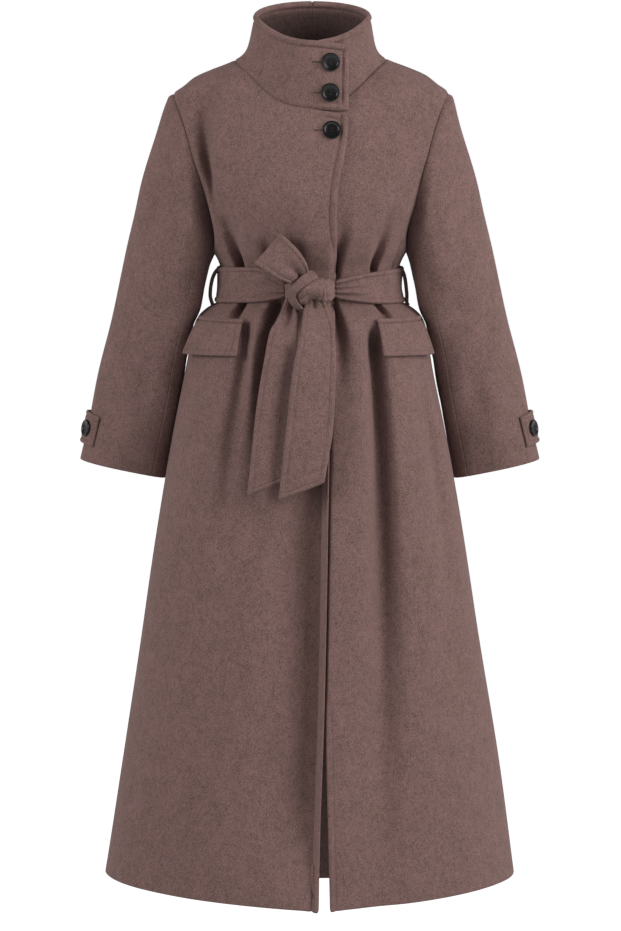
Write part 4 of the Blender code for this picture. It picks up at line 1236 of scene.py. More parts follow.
@dataclass
class PanelRows:
    """The rows that all body panels share, named by their height at the side."""

    hem: float = -1.236
    hem_front_drop: float = 0.034
    hem_back_drop: float = 0.042
    hem_round: float = 0.75
    hem_corner: float = 0.35
    hem_power: float = 1.7
    hem_from: float = -0.700
    neck_from: float = -0.288
    gather_from: float = -0.450
    waist_seam: float = -0.3405
    skirt_rows: int = 70
    below_seam_rows: int = 25
    above_seam_rows: int = 12
    armhole_rows: int = 44
    shoulder_rows: int = 8
    bend_power: float = 4.0

    def __post_init__(self) -> None:
        """Lays the rows out: even ones, and where they end at the seams of the side and shoulder."""
        skirt = self.hem + spaced(HEM_EDGE, self.skirt_rows, (0.0,), self.gather_from - self.hem)
        below_seam = np.linspace(self.gather_from, self.waist_seam, self.below_seam_rows + 1)[1:]
        above_seam = np.linspace(self.waist_seam, ARMHOLE.underarm, self.above_seam_rows + 1)[1:-1]
        turns = np.linspace(math.pi, 0.0, self.armhole_rows + 1)
        top = -np.array(TOP_EDGE)[::-1]
        shoulder = np.linspace(ARMHOLE.tip, top[0], self.shoulder_rows + 1)[1:-1]
        below = np.concatenate([skirt, below_seam, above_seam])
        beside = np.concatenate([ARMHOLE.height(turns), shoulder])
        self.seam_row = len(skirt) + len(below_seam) - 1
        self.at_seam = np.concatenate([below, beside, top])
        even = np.linspace(beside[0], top[0], len(beside) + 1)[:-1]
        self.even = np.concatenate([below, even, top])
        self.turns = np.zeros(len(self.even))
        self.armhole = slice(len(below), len(below) + len(turns))
        self.turns[self.armhole] = turns

    def heights(self, neck: Points, front: bool, to_seam: Points) -> Points:
        """The height of every point of a panel.

        Args:
            neck: The heights of its top row.
            front: Whether it is a front panel.
            to_seam: For each column, 0 at the panel's middle and 1 at its side seam.

        Returns:
            The heights, by row and column.
        """
        levels = self.even[:, None] + (self.at_seam - self.even)[:, None] * to_seam**self.bend_power
        angle = 0.5 * math.pi * to_seam
        drop = self.hem_back_drop * np.cos(angle) ** 2
        if front:
            corner = (1.0 - self.hem_round) * np.exp(-angle / self.hem_corner)
            drop = self.hem_front_drop * (self.hem_round * np.cos(angle) ** self.hem_power + corner)
        to_hem = eased((self.hem_from - levels) / (self.hem_from - self.hem))
        to_neck = eased((levels - self.neck_from) / -self.neck_from)
        return levels - to_hem * drop + to_neck * neck

    def parts(self) -> tuple[tuple[str, slice, int], ...]:
        """The bodice and the skirt of a panel: their rows, and the row at the waist seam under the belt."""
        return (("bodice", slice(self.seam_row, None), 0), ("skirt", slice(0, self.seam_row + 1), -1))


ROWS = PanelRows()


@dataclass
class Front(Sewn):
    """A front panel, from its turned and topstitched edge to the side seam, armhole and shoulder seam."""

    sleeve: "Sleeve"
    collar: "Collar"
    columns: int = 140
    edge_stitch: Topstitch = Topstitch(10.5 * MM, 1.6 * MM, 1.7 * MM, 2.8 * MM, 0.7)
    top_stitch: Topstitch = Topstitch(inset=9.1 * MM)
    slit: float = 12.0 * MM
    corner: float = 6.0 * MM
    stitched_from: float = 0.014
    stitched_over: float = 0.016
    stitch_end: float = 4.0 * MM
    free_rate: float = 12.0
    settles: int = 3

    def __post_init__(self) -> None:
        """Presses the edge that lies underneath flatter."""
        if not self.over:
            self.edge_stitch = Topstitch(depth=0.8 * MM, swell=0.8 * MM)

    @property
    def side(self) -> Side:
        """The wearer's side that this front is on."""
        return self.sleeve.side

    @property
    def over(self) -> bool:
        """Whether this front lies on top."""
        return self.side is Side.RIGHT

    def _top(self, past: Points, angle: Points) -> Points:
        """The height of the top edge; the right one falls away past the centre, with a slit above it."""
        return FORM.neck_height(np.where(past > 0, 0.0, angle)) - self.slit * past

    def _layout(self) -> tuple[Points, Points, Points]:
        """The angles and heights of all points, and how far the top row is past the centre."""
        sign = self.side.value
        edge_curve = FORM.over_edge if self.over else FORM.under_edge
        edge_angle = sign * FORM.top_edge_angle(self.over)
        seams = ARMHOLE.angle(ROWS.turns)[:, None]
        swing = 0.5 * math.pi - seams
        count = len(FRONT_EDGE) + self.columns + len(SEAM_EDGE)
        angles = np.broadcast_to(np.linspace(edge_angle, 0.5 * math.pi, count), (len(seams), count))
        share = np.linspace(0.0, 1.0, self.columns + 2)[1:-1]
        for _ in range(self.settles):
            top = angles[-1]
            past = np.clip(top / edge_angle, 0.0, 1.0) if self.over else np.zeros(count)
            to_seam = np.clip((top - edge_angle) / (0.5 * math.pi - edge_angle), 0.0, 1.0)
            heights = ROWS.heights(self._top(past, top), True, to_seam)
            edges = sign * FORM.angle_at(edge_curve(heights[:, 0]), heights[:, 0])[:, None]
            speed = FORM.half_width(heights[:, :1]) * np.cos(edges)
            near = edges + np.array(FRONT_EDGE) / speed
            inset = np.array(SEAM_EDGE)[::-1] / FORM.front(heights[:, -1:])
            full = 0.5 * math.pi - inset[:, :1]
            between = near[:, -1:] + (full - near[:, -1:]) * share - swing * share**2
            angles = np.concatenate([near, between, seams - inset], axis=1)
        return angles, heights, past

    def build(self) -> None:
        """Builds the bodice and the skirt with their topstitching."""
        sign = self.side.value
        angles, heights, past = self._layout()
        free = eased(past * self.free_rate)
        surface = FORM.over if self.over else FORM.under
        base, facing = faced(surface, sign * angles, heights)
        from_edge, from_top = Edge.FIRST.lengths(base), Edge.TOP.lengths(base)
        relief = self.edge_stitch.relief(from_edge) + SEWN.groove(Edge.LAST.lengths(base))
        relief = relief + (1.0 - free) * SEWN.groove(from_top)
        if self.over:
            stitched = eased((base[..., 0] - self.stitched_from) / self.stitched_over)
            both = relief + self.top_stitch.relief(from_top) * stitched
            relief = np.where(from_edge < self.edge_stitch.inset, np.minimum(relief, both), both)
        outer, inner = raised(base, facing, relief), raised(base, facing, -CLOTH)
        other = facing[:, -1].copy()
        other[ROWS.armhole] = self.sleeve.head_normal(ROWS.turns[ROWS.armhole])
        outer[:, -1], inner[:, -1] = SEWN.edge(base[:, -1], facing[:, -1], other, CLOTH)
        neck = SEWN.edge(base[-1], facing[-1], self.collar.foot_normal(sign * angles[-1]), CLOTH)
        pull = self.over * corner_pull(from_top, from_edge, self.corner)
        along = unit(np.gradient(base, axis=1))
        for grid, sewn in zip((outer, inner), neck):
            grid[-1] += (1.0 - free)[:, None] * (sewn - grid[-1])
            grid += pull[..., None] * along
            Edge.TOP.draw_in(grid, 0.5 * CLOTH * free)
        turn_in((outer, inner), (Edge.FIRST, Edge.BOTTOM), 0.5 * CLOTH)
        roll = np.ones(heights.shape)
        roll[-1], roll[:, -1] = free, 0.0
        top_run = self.top_stitch.run(Edge.TOP, outer, from_top, facing[-1])
        keep = (top_run.line[:, 0] > self.stitched_from) & (from_edge[-1] > self.edge_stitch.inset)
        top_end = self.edge_stitch.inset if self.over else self.stitch_end
        for part, rows, seam in ROWS.parts():
            run = self.edge_stitch.run(Edge.FIRST, outer[rows], from_edge[rows], facing[rows, 0])
            runs, holes = [run.trimmed(self.stitch_end, top_end)], []
            if self.over and seam == 0:
                runs.append(top_run.only(keep))
                for button in FRONT_BUTTONS:
                    holes += Buttonhole(button, FORM.over, button.height).build(self.tailor)
            part_roll = roll[rows].copy()
            part_roll[seam] = 0.0
            name = f"{part}_{self.side.word}"
            wall = ClothWall(f"{name}_cloth", outer[rows], inner[rows], part_roll)
            self.tailor.sew(wall, Hold.HUNG, [name], runs, holes)


@dataclass
class Back(Sewn):
    """The back panel, from side seam to side seam."""

    sleeves: dict[Side, "Sleeve"]
    collars: dict[Side, "Collar"]
    columns: int = 100

    def build(self) -> None:
        """Builds the bodice and the skirt."""
        half = (math.pi - ARMHOLE.angle(-ROWS.turns))[:, None]
        inset = np.array(SEAM_EDGE) / FORM.back(ROWS.at_seam)[:, None]
        share = np.linspace(-1.0, 1.0, self.columns + 2)[1:-1]
        full = 0.5 * math.pi - inset[:, -1:]
        between = full * share - (0.5 * math.pi - half) * share * np.abs(share)
        places = np.concatenate([inset - half, between, half - inset[:, ::-1]], axis=1)
        angles = math.pi + places
        neck = FORM.neck_height(angles[-1])
        heights = ROWS.heights(neck, False, np.abs(places[-1]) / (0.5 * math.pi))
        base, facing = faced(FORM.under, angles, heights)
        relief = sum(SEWN.groove(edge.lengths(base)) for edge in (Edge.FIRST, Edge.LAST, Edge.TOP))
        outer, inner = raised(base, facing, relief), raised(base, facing, -CLOTH)
        for side, column in ((Side.LEFT, 0), (Side.RIGHT, -1)):
            other = facing[:, column].copy()
            other[ROWS.armhole] = self.sleeves[side].head_normal(-ROWS.turns[ROWS.armhole])
            edge = SEWN.edge(base[:, column], facing[:, column], other, CLOTH)
            outer[:, column], inner[:, column] = edge
        left, right = (self.collars[side].foot_normal(angles[-1]) for side in (Side.LEFT, Side.RIGHT))
        foot = np.where((angles[-1] < math.pi)[:, None], left, right)
        outer[-1], inner[-1] = SEWN.edge(base[-1], facing[-1], foot, CLOTH)
        turn_in((outer, inner), (Edge.BOTTOM,), 0.5 * CLOTH)
        roll = np.zeros(heights.shape)
        roll[0] = 1.0
        for part, rows, _ in ROWS.parts():
            wall = ClothWall(f"{part}_back_cloth", outer[rows], inner[rows], roll[rows])
            self.tailor.sew(wall, Hold.HUNG, [f"{part}_back"])


# Collar


@dataclass
class Collar(Sewn):
    """One half of the funnel collar, from the centre back seam to its end in front."""

    side: Side
    rim_half_width: float = 0.0872
    rim_shift: float = 0.0038
    rim_centre: float = -0.012
    rim_depth: float = 0.074
    rim_side: float = 0.068
    rim_front_drop: float = 0.036
    rim_front_power: float = 1.6
    rim_back_rise: float = 0.0166
    end_slope: float = 0.12
    end_off: float = 0.005
    end_drop: float = 0.0045
    funnel_power: float = 2.0
    side_cone: float = 0.45
    side_flare: float = 8.0
    foot: float = 0.03
    corner: float = 6.0 * MM
    columns: int = 96
    rows: int = 26
    tall: float = 0.1
    back_reach: float = 0.08
    front_reach: float = 0.2
    stitch: Topstitch = Topstitch(inset=9.1 * MM)
    rim_end: float = 2.0 * MM
    foot_end: float = 3.0 * MM
    free_rate: float = 40.0
    free_from: float = 0.9
    # Painted shade on the inner face: how dark it gets, and how far below the rim it reaches full strength.
    painted_shade: float = 0.62
    painted_shade_reach: float = 0.020

    @property
    def over(self) -> bool:
        """Whether this half's end lies on top."""
        return self.side is Side.RIGHT

    def surface(self, angle: Points, share: Points) -> Points:
        """The outer surface.

        Args:
            angle: The angle of each point's place on the neck seam.
            share: Its share of the collar's height.

        Returns:
            The points.
        """
        angle, share = np.broadcast_arrays(angle, share)
        ahead = signed_angle(angle)
        past_centre = self.over & (ahead > 0) & (np.abs(ahead) < math.pi / 2)
        base_surface = FORM.over if self.over else FORM.under
        past = np.where(past_centre, ahead / FORM.top_edge_angle(True), 0.0)
        seam = FORM.neck_height(np.where(past_centre, 0.0, angle)) - self.end_drop * past
        base = base_surface(angle, seam)
        step = self.over * FORM.step(angle) + self.end_off * past
        facing = np.cos(angle) > 0
        out = np.clip(base[..., 0] / FORM.neck_half_width, -1.0, 1.0)
        shrink = 1.0 - self.rim_half_width / FORM.neck_half_width
        widen = FORM.neck_half_width / self.rim_half_width
        rim_out = np.clip(out * (1.0 - shrink * out * out) * widen, -1.0, 1.0)
        rim_along = np.sqrt(1.0 - rim_out * rim_out)
        rim_y = self.rim_centre + np.where(facing, -1.0, 1.0) * (self.rim_depth * rim_along + step)
        dip = self.rim_side - self.rim_front_drop * rim_along**self.rim_front_power
        flat = self.rim_side - self.rim_front_drop - self.end_slope * base[..., 0]
        rising = self.rim_side + self.rim_back_rise * rim_along
        rim_z = np.where(facing, np.where(past_centre, flat, dip), rising)
        rim = np.stack([self.rim_shift + self.rim_half_width * rim_out, rim_y, rim_z], axis=-1)
        rest = 1.0 - share
        front_fall = rest**self.funnel_power
        side_fall = self.side_cone * rest + (1.0 - self.side_cone) * rest**self.side_flare
        lean = 1.0 - front_fall + (front_fall - side_fall) * out * out
        return base + (rim - base) * np.stack([lean, lean, share], axis=-1)

    def foot_normal(self, angle: Points) -> Points:
        """The normals just above the neck seam."""
        return normals(self.surface, angle, np.full_like(angle, self.foot))

    def _layout(self) -> tuple[Points, Points]:
        """The angles of the columns and the shares of the rows."""
        end = 2.0 * math.pi + FORM.top_edge_angle(True) if self.over else FORM.top_edge_angle(False)
        way = np.sign(end - math.pi)
        first = math.pi + way * np.array(SEAM_EDGE) / self.back_reach
        last = end - way * np.array(FRONT_EDGE)[::-1] / self.front_reach
        between = np.linspace(first[-1], last[0], self.columns + 2)[1:-1]
        shares = spaced(SEAM_EDGE, self.rows, TOP_EDGE, self.tall) / self.tall
        return np.concatenate([first, between, last]), shares

    def build(self) -> None:
        """Builds the half with its topstitching."""
        angles, shares = self._layout()
        angle, share = np.meshgrid(angles, shares)
        base = self.surface(angle, share)
        facing = (1.0 if self.over else -1.0) * grid_normals(base)
        past = np.clip(angles - 2.0 * math.pi, 0.0, None) if self.over else np.zeros(len(angles))
        free = eased(past * self.free_rate)
        from_foot, from_rim = Edge.BOTTOM.lengths(base), Edge.TOP.lengths(base)
        from_end = Edge.LAST.lengths(base)
        nearest = np.minimum(from_rim, from_end)
        nearest = np.where(free > 0.5, np.minimum(nearest, from_foot), nearest)
        stitched = self.stitch.relief(nearest)
        relief = stitched + SEWN.groove(Edge.FIRST.lengths(base)) + (1.0 - free) * SEWN.groove(from_foot)
        outer, inner = raised(base, facing, relief), raised(base, facing, -COLLAR_CLOTH - stitched)
        outer[:, 0], inner[:, 0] = SEWN.edge(base[:, 0], facing[:, 0], facing[:, 0], COLLAR_CLOTH)
        body = FORM.over if self.over else FORM.under
        neck = SEWN.edge(base[0], facing[1], normals(body, angles, base[0, :, 2]), COLLAR_CLOTH)
        along = unit(np.gradient(base, axis=1))
        for grid, sewn in zip((outer, inner), neck):
            grid[0] += (1.0 - free)[:, None] * (sewn - grid[0])
            for distance in (from_rim, from_foot + 1.0 - self.over):
                grid -= corner_pull(distance, from_end, self.corner)[..., None] * along
            Edge.BOTTOM.draw_in(grid, 0.5 * COLLAR_CLOTH * free)
        turn_in((outer, inner), (Edge.LAST, Edge.TOP), 0.5 * COLLAR_CLOTH)
        roll = np.ones(angle.shape)
        roll[0], roll[:, 0] = free, 0.0
        roll[-1, 0] = 1.0
        inset = self.stitch.inset
        runs = []
        for grid, way in ((outer, facing[-1]), (inner, -facing[-1])):
            runs.append(self.stitch.run(Edge.TOP, grid, from_rim, way).trimmed(self.rim_end, inset))
        end_run = self.stitch.run(Edge.LAST, outer, from_end, facing[:, -1])
        runs.append(end_run.trimmed(inset if self.over else self.foot_end, inset))
        holes = []
        if self.over:
            keep = (free > self.free_from) & (from_end[0] > inset)
            runs.append(self.stitch.run(Edge.BOTTOM, outer, from_foot, facing[0]).only(keep))
            for button in COLLAR_BUTTONS:
                holes += Buttonhole(button, self.surface, COLLAR_MIDDLE).build(self.tailor)
        name = f"collar_{self.side.word}"
        # Painted shade: the collar's inner face darkens from the rim downwards, where its hollow lies in
        # shade.
        deep = self.painted_shade * eased(from_rim / self.painted_shade_reach)
        wall = ClothWall(f"{name}_cloth", outer, inner, roll, deep=deep)
        self.tailor.sew(wall, Hold.STRETCHED, [name], runs, holes)


# Sleeves


class Fullness(NamedTuple):
    """How far a sleeve swells at a share of its length: outwards, forwards, and towards the body."""

    share: float
    outward: float
    forward: float
    pressed: float


class Crease(NamedTuple):
    """A soft crease in a sleeve: its turn and share at both ends, half width as a turn, and depth."""

    turn: float
    share: float
    end_turn: float
    end_share: float
    half_turn: float
    depth: float


CUFF_EDGE = in_mm(0.0, 3.5, 7.5)
SLEEVE_SWELLS = (Wave(3, 14.0, 0.4, 0.9 * MM), Wave(5, -21.0, 2.0, 0.7 * MM))
FULLNESS = rows_of(
    Fullness,
    (0.0, 0.0, 0.0, 0.0), (0.012, 0.0065, 0.002, 0.0), (0.1, 0.009, 0.008, -0.001),
    (0.25, 0.0118, 0.0115, -0.001), (0.35, 0.0104, 0.0115, 0.005), (0.5, 0.0084, 0.01, 0.0055),
    (0.7, 0.005, 0.006, 0.003), (1.0, 0.0, 0.0, 0.0),
)
CREASES = rows_of(
    Crease,
    (140, 0.1, 96, 0.52, 13, 4.5 * MM), (118, 0.3, 60, 0.62, 12, 3.0 * MM),
    (70, 0.06, 52, 0.4, 14, 2.5 * MM), (100, 0.55, 84, 0.92, 13, 2.5 * MM),
    (215, 0.18, 262, 0.55, 13, 4.0 * MM), (250, 0.42, 296, 0.7, 12, 3.0 * MM),
    (310, 0.05, 325, 0.45, 14, 2.5 * MM),
)


@dataclass
class Sleeve(Sewn):
    """A sleeve of two pieces, from the armhole to its slanted oval cuff."""

    side: Side
    fullness: float = 1.0
    cuff_centre: tuple[float, float, float] = (0.2846, 0.055, -0.6250)
    cuff_outward: tuple[float, float, float] = (0.980, 0.0, 0.200)
    cuff_half_width: float = 0.0675
    cuff_half_depth: float = 0.055
    front_seam: float = 126.0
    back_seam: float = 288.0
    rows: int = 96
    column_step: float = 4.0
    head: float = 0.008
    girth_reach: float = 0.07
    sunk_share: float = 0.05
    squareness: float = 3.6
    square_from: float = 0.40
    swells_in: float = 0.25
    swells_out: float = 0.125
    length: float = 0.52

    def __post_init__(self) -> None:
        """Draws the curves of the sleeve's swelling."""
        self.outward = column_curve(FULLNESS, "share", "outward")
        self.forward = column_curve(FULLNESS, "share", "forward")
        self.pressed = column_curve(FULLNESS, "share", "pressed")

    def smooth(self, turn: Points, share: Points) -> Points:
        """The surface with no creases, laid out on the wearer's left.

        Args:
            turn: The turn round the sleeve, 0 on the outside.
            share: The share of its length.

        Returns:
            The points.
        """
        turn, share = np.broadcast_arrays(turn, share)
        angle, height = self.side.value * ARMHOLE.angle(turn), ARMHOLE.height(turn)
        seam = mirrored(FORM.body(angle, height), self.side)
        sunk = mirrored(FORM.under(angle, height), self.side) - seam
        outward, forward = np.cos(turn)[..., None], np.sin(turn)[..., None]
        side_way = np.array(self.cuff_outward)
        reach = self.cuff_half_width * outward * side_way + self.cuff_half_depth * forward * FORWARD
        cuff = np.array(self.cuff_centre) + reach
        power = self.squareness
        square = (np.abs(outward) ** power + np.abs(forward) ** power) ** (-1.0 / power) - 1.0
        square = np.where(outward < 0, square, 0.0)
        swell = (0.5 + 0.5 * outward) * self.fullness * self.outward(share)[..., None] * side_way
        swell = swell + (0.5 - 0.5 * outward) * self.pressed(share)[..., None] * side_way
        swell = swell + forward * self.forward(share)[..., None] * FORWARD
        share = share[..., None]
        swell = swell + eased(share / self.square_from) * square * reach
        return seam * (1.0 - share) + cuff * share + swell + sunk * bump(share, 0.0, self.sunk_share)

    def head_normal(self, turn: Points) -> Points:
        """The normals just past the armhole seam, on the sleeve's own side."""
        return mirrored(normals(self.smooth, turn, np.full_like(turn, self.head)), self.side)

    def surface(self, turn: Points, share: Points) -> Points:
        """The surface with its creases.

        Args:
            turn: The turn round the sleeve, 0 on the outside.
            share: The share of its length.

        Returns:
            The points.
        """
        turn, share = np.broadcast_arrays(turn, share)
        depth = np.zeros(turn.shape)
        for crease in CREASES:
            held = np.clip((share - crease.share) / (crease.end_share - crease.share), 0.0, 1.0)
            middle = np.radians(crease.turn + (crease.end_turn - crease.turn) * held)
            across = signed_angle(turn - middle) / math.radians(crease.half_turn)
            depth = depth + crease.depth * np.sin(math.pi * held) ** 2 * bump(across, 0.0, 1.0)
        loose = eased(share / self.swells_in) * eased((1.0 - share) / self.swells_out)
        depth = depth + swelling(SLEEVE_SWELLS, turn, share) * loose
        return self.smooth(turn, share) - depth[..., None] * normals(self.smooth, turn, share)

    def build(self) -> None:
        """Builds the top and the under sleeve."""
        front, back = math.radians(self.front_seam), math.radians(self.back_seam)
        self._piece("top", back - 2 * math.pi, front)
        self._piece("under", front, back)

    def _piece(self, word: str, first: float, last: float) -> None:
        """Builds one piece of the sleeve.

        Args:
            word: Which piece it is.
            first: The turn of its first seam.
            last: The turn of its last seam.
        """
        edge = np.array(SEAM_EDGE) / self.girth_reach
        count = round(math.degrees(last - first) / self.column_step)
        turns = first + spaced(edge, count, edge, last - first)
        turn, share = np.meshgrid(turns, spaced(SEAM_EDGE, self.rows, CUFF_EDGE, self.length) / self.length)
        base = self.surface(turn, share)
        facing = normals(self.surface, turn, np.clip(share, self.head, 1.0 - self.head))
        relief = PRESSED.groove(Edge.FIRST.lengths(base)) + PRESSED.groove(Edge.LAST.lengths(base))
        relief = relief + SEWN.groove(Edge.BOTTOM.lengths(base))
        outer, inner = raised(base, facing, relief), raised(base, facing, -CLOTH)
        for column in (0, -1):
            sewn = PRESSED.edge(base[:, column], facing[:, column], facing[:, column], CLOTH)
            outer[:, column], inner[:, column] = sewn
        body = normals(FORM.under, self.side.value * ARMHOLE.angle(turns), ARMHOLE.height(turns))
        outer[0], inner[0] = SEWN.edge(base[0], facing[0], mirrored(body, self.side), CLOTH)
        turn_in((outer, inner), (Edge.TOP,), 0.5 * CLOTH)
        roll = np.zeros(turn.shape)
        roll[-1] = 1.0
        name = f"sleeve_{self.side.word}_{word}"
        wall = ClothWall(f"{name}_cloth", mirrored(outer, self.side), mirrored(inner, self.side), roll)
        self.tailor.sew(wall, Hold.HUNG, [name])


# Pockets and cuff tabs

TRIM_EDGE = in_mm(0.0, 2.6, 4.0, 5.2, 6.2, 7.0, 7.7, 8.4, 9.4, 11.0, 13.5)
FLAP_TOP = in_mm(0.0, 2.2, 4.5)


@dataclass
class Pocket(Sewn):
    """A pocket's flap, which stands off towards its outer lower corner, and the welt above it."""

    side: Side
    inner_angle: float = 36.0
    outer_angle: float = 75.0
    top: float = -0.3935
    bottom: float = -0.4405
    width: float = 0.104
    outer_drop: float = 4.0 * MM
    inner_lift: float = 2.4 * MM
    outer_lift: float = 10.0 * MM
    lift_power: float = 1.6
    wave: float = 0.8 * MM
    wave_turns: float = 1.4
    wave_phase: float = 0.5
    welt_height: float = 6.6 * MM
    welt_foot: float = 1.0 * MM
    welt_roll: float = 4.6 * MM
    columns: int = 34
    rows: int = 9
    stitch: Topstitch = Topstitch(7.0 * MM, 0.8 * MM, 1.3 * MM, 0.9 * MM)
    stitch_end: float = 3.0 * MM

    def build(self) -> None:
        """Builds the flap and the welt."""
        self._flap()
        self._welt()

    def _angle(self, across: Points) -> Points:
        """The angle at a share of the pocket's width, on its own side."""
        degrees = self.inner_angle + across * (self.outer_angle - self.inner_angle)
        return self.side.value * np.radians(degrees)

    def _flap(self) -> None:
        """Builds the flap."""
        width, tall = self.width, self.top - self.bottom
        across = spaced(TRIM_EDGE, self.columns, TRIM_EDGE, width) / width
        across, share = np.meshgrid(across, spaced(FLAP_TOP, self.rows, TRIM_EDGE, tall) / tall)
        angle = self._angle(across)
        height = self.top + share * (self.bottom - self.top - self.outer_drop * across)
        lift = self.inner_lift + across**self.lift_power * (self.outer_lift - self.inner_lift)
        lift = lift + self.wave * np.sin(math.pi * across * self.wave_turns + self.wave_phase)
        off = LAYER + share * lift
        points, facing = faced(FORM.envelope, angle, height)
        from_first, from_last, from_bottom = across * width, (1.0 - across) * width, (1.0 - share) * tall
        nearest = np.minimum(np.minimum(from_first, from_last), from_bottom)
        outer = raised(points, facing, off + TRIM_CLOTH + self.stitch.relief(nearest))
        inner = raised(points, facing, off)
        turn_in((outer, inner), Edge, 0.5 * TRIM_CLOTH)
        runs = self.stitch.runs(
            outer,
            facing.mean(axis=(0, 1)),
            (Edge.FIRST, from_first, self.stitch_end),
            (Edge.LAST, from_last, self.stitch_end),
            (Edge.TOP, from_bottom, self.stitch.inset),
        )
        name = f"pocket_flap_{self.side.word}"
        self.tailor.sew(ClothWall(f"{name}_cloth", outer, inner), Hold.HUNG, [name], runs)

    def _welt(self) -> None:
        """Builds the welt, a narrow rolled ridge."""
        across, share = np.meshgrid(np.linspace(0.0, 1.0, self.columns), np.linspace(0.0, 1.0, self.rows))
        angle, height = self._angle(across), self.top + LAYER + share * (self.welt_height - LAYER)
        points, facing = faced(FORM.envelope, angle, height)
        roll = self.welt_foot + self.welt_roll * np.sqrt(1.0 - (2.0 * share - 1.0) ** 2)
        outer, inner = raised(points, facing, LAYER + roll), raised(points, facing, LAYER)
        turn_in((outer, inner), (Edge.FIRST, Edge.LAST), 0.5 * TRIM_CLOTH)
        name = f"pocket_welt_{self.side.word}"
        self.tailor.sew(ClothWall(f"{name}_cloth", outer, inner), Hold.FOLDED, [name])


@dataclass
class CuffTab(Sewn):
    """A buttoned tab round the outside of a cuff."""

    sleeve: Sleeve
    first: float = -68.0
    last: float = 41.0
    low: float = 0.869
    high: float = 0.953
    width: float = 0.128
    tall: float = 0.047
    edge_share: float = 6.0 / 7.7
    looseness: float = 2.2 * MM
    columns: int = 44
    rows: int = 5
    stitch: Topstitch = Topstitch(6.0 * MM, 0.9 * MM, 1.2 * MM, 0.6 * MM)
    stitch_end: float = 2.0 * MM

    def build(self) -> None:
        """Builds the tab."""
        edge = self.edge_share * np.array(TRIM_EDGE)
        across = spaced(SEAM_EDGE, self.columns, edge, self.width) / self.width
        across, share = np.meshgrid(across, spaced(edge, self.rows, edge, self.tall) / self.tall)
        turn = np.radians(self.first + across * (self.last - self.first))
        place = self.low + share * (self.high - self.low)
        points, facing = faced(self.sleeve.smooth, turn, place)
        off = LAYER + self.looseness * np.sin(math.pi * across)
        from_last = (1.0 - across) * self.width
        from_low, from_high = share * self.tall, (1.0 - share) * self.tall
        nearest = np.minimum(np.minimum(from_low, from_high), from_last)
        side = self.sleeve.side
        outer = mirrored(raised(points, facing, off + TRIM_CLOTH + self.stitch.relief(nearest)), side)
        inner = mirrored(raised(points, facing, off), side)
        turn_in((outer, inner), Edge, 0.5 * TRIM_CLOTH)
        runs = self.stitch.runs(
            outer,
            mirrored(facing, side).mean(axis=(0, 1)),
            (Edge.LAST, from_last, self.stitch.inset),
            (Edge.BOTTOM, from_low, self.stitch_end),
            (Edge.TOP, from_high, self.stitch_end),
        )
        name = f"cuff_tab_{side.word}"
        self.tailor.sew(ClothWall(f"{name}_cloth", outer, inner), Hold.STRETCHED, [name], runs)


# Belt


class BandEdge(NamedTuple):
    """The heights of the belt's edges at an angle, in degrees."""

    angle: float
    top: float
    bottom: float


BAND = rows_of(
    BandEdge,
    (16.5, -0.3275, -0.353), (35, -0.319, -0.361), (60, -0.315, -0.366), (90, BELT_TOP, BELT_BOTTOM),
    (180, BELT_TOP, BELT_BOTTOM), (270, BELT_TOP, BELT_BOTTOM), (325, -0.308, -0.3605),
    (343.5, -0.3295, -0.3515),
)
BELT_EDGE = in_mm(0.0, 2.8, 4.2, 5.3, 6.1, 6.8, 7.5, 8.4, 9.8, 12.0, 15.0, 18.5, 22.0)
BELT_SWELLS = (Wave(9, 5.0, 1.0, 0.6 * MM),)
BELT_STITCH = Topstitch(6.8 * MM, 0.8 * MM, 1.2 * MM, 0.9 * MM)


def belt_shares() -> Points:
    """Places across the belt, as shares of its width."""
    return spaced(BELT_EDGE, 1, BELT_EDGE, BELT_WIDTH) / BELT_WIDTH


def belt_relief(share: Points) -> Points:
    """The height of the belt's surface across its width."""
    return BELT_STITCH.relief(np.minimum(share, 1.0 - share) * BELT_WIDTH)


@dataclass
class BeltBand(Sewn):
    """The belt round the waist, gathered into pleats where it runs into the knot."""

    columns: int = 300
    pleat_depth: float = 3.2 * MM
    pleats: float = 3.2
    pleat_phase: float = 0.9
    pleat_sink: float = 0.2
    left_gather: float = 34.0
    right_gather: float = 30.0
    right_share: float = 0.9
    flattened: float = 0.6
    turned: float = 0.4

    def build(self) -> None:
        """Builds the band with its two lines of stitches."""
        degrees = np.linspace(BAND[0].angle, BAND[-1].angle, self.columns)
        top, bottom = (column_curve(BAND, "angle", edge)(degrees) for edge in ("top", "bottom"))
        angle, share = np.meshgrid(np.radians(degrees), belt_shares())
        height = bottom + share * (top - bottom)
        gather = eased(1.0 - (degrees - BAND[0].angle) / self.left_gather)
        gather = gather + self.right_share * eased(1.0 - (BAND[-1].angle - degrees) / self.right_gather)
        wave = np.sin(2.0 * math.pi * self.pleats * share + self.pleat_phase) - self.pleat_sink
        relief = belt_relief(share) * (1.0 - self.flattened * gather) + self.pleat_depth * gather * wave
        relief = relief + swelling(BELT_SWELLS, angle, share)
        points, facing = faced(FORM.envelope, angle, height)
        outer = raised(points, facing, BELT_CLEAR + BELT_CLOTH + relief)
        inner = raised(points, facing, BELT_CLEAR)
        turn_in((outer, inner), (Edge.TOP, Edge.BOTTOM), self.turned * BELT_CLOTH)
        runs = [
            BELT_STITCH.run(edge, outer, flat * BELT_WIDTH, facing[0])
            for edge, flat in ((Edge.BOTTOM, share), (Edge.TOP, 1.0 - share))
        ]
        self.tailor.sew(ClothWall("belt_band_cloth", outer, inner), Hold.STRETCHED, ["belt_band"], runs)


class TailRow(NamedTuple):
    """One level of a hanging belt end: the height and place of each edge, and how far it stands off."""

    left_height: float
    left: float
    right_height: float
    right: float
    off: float


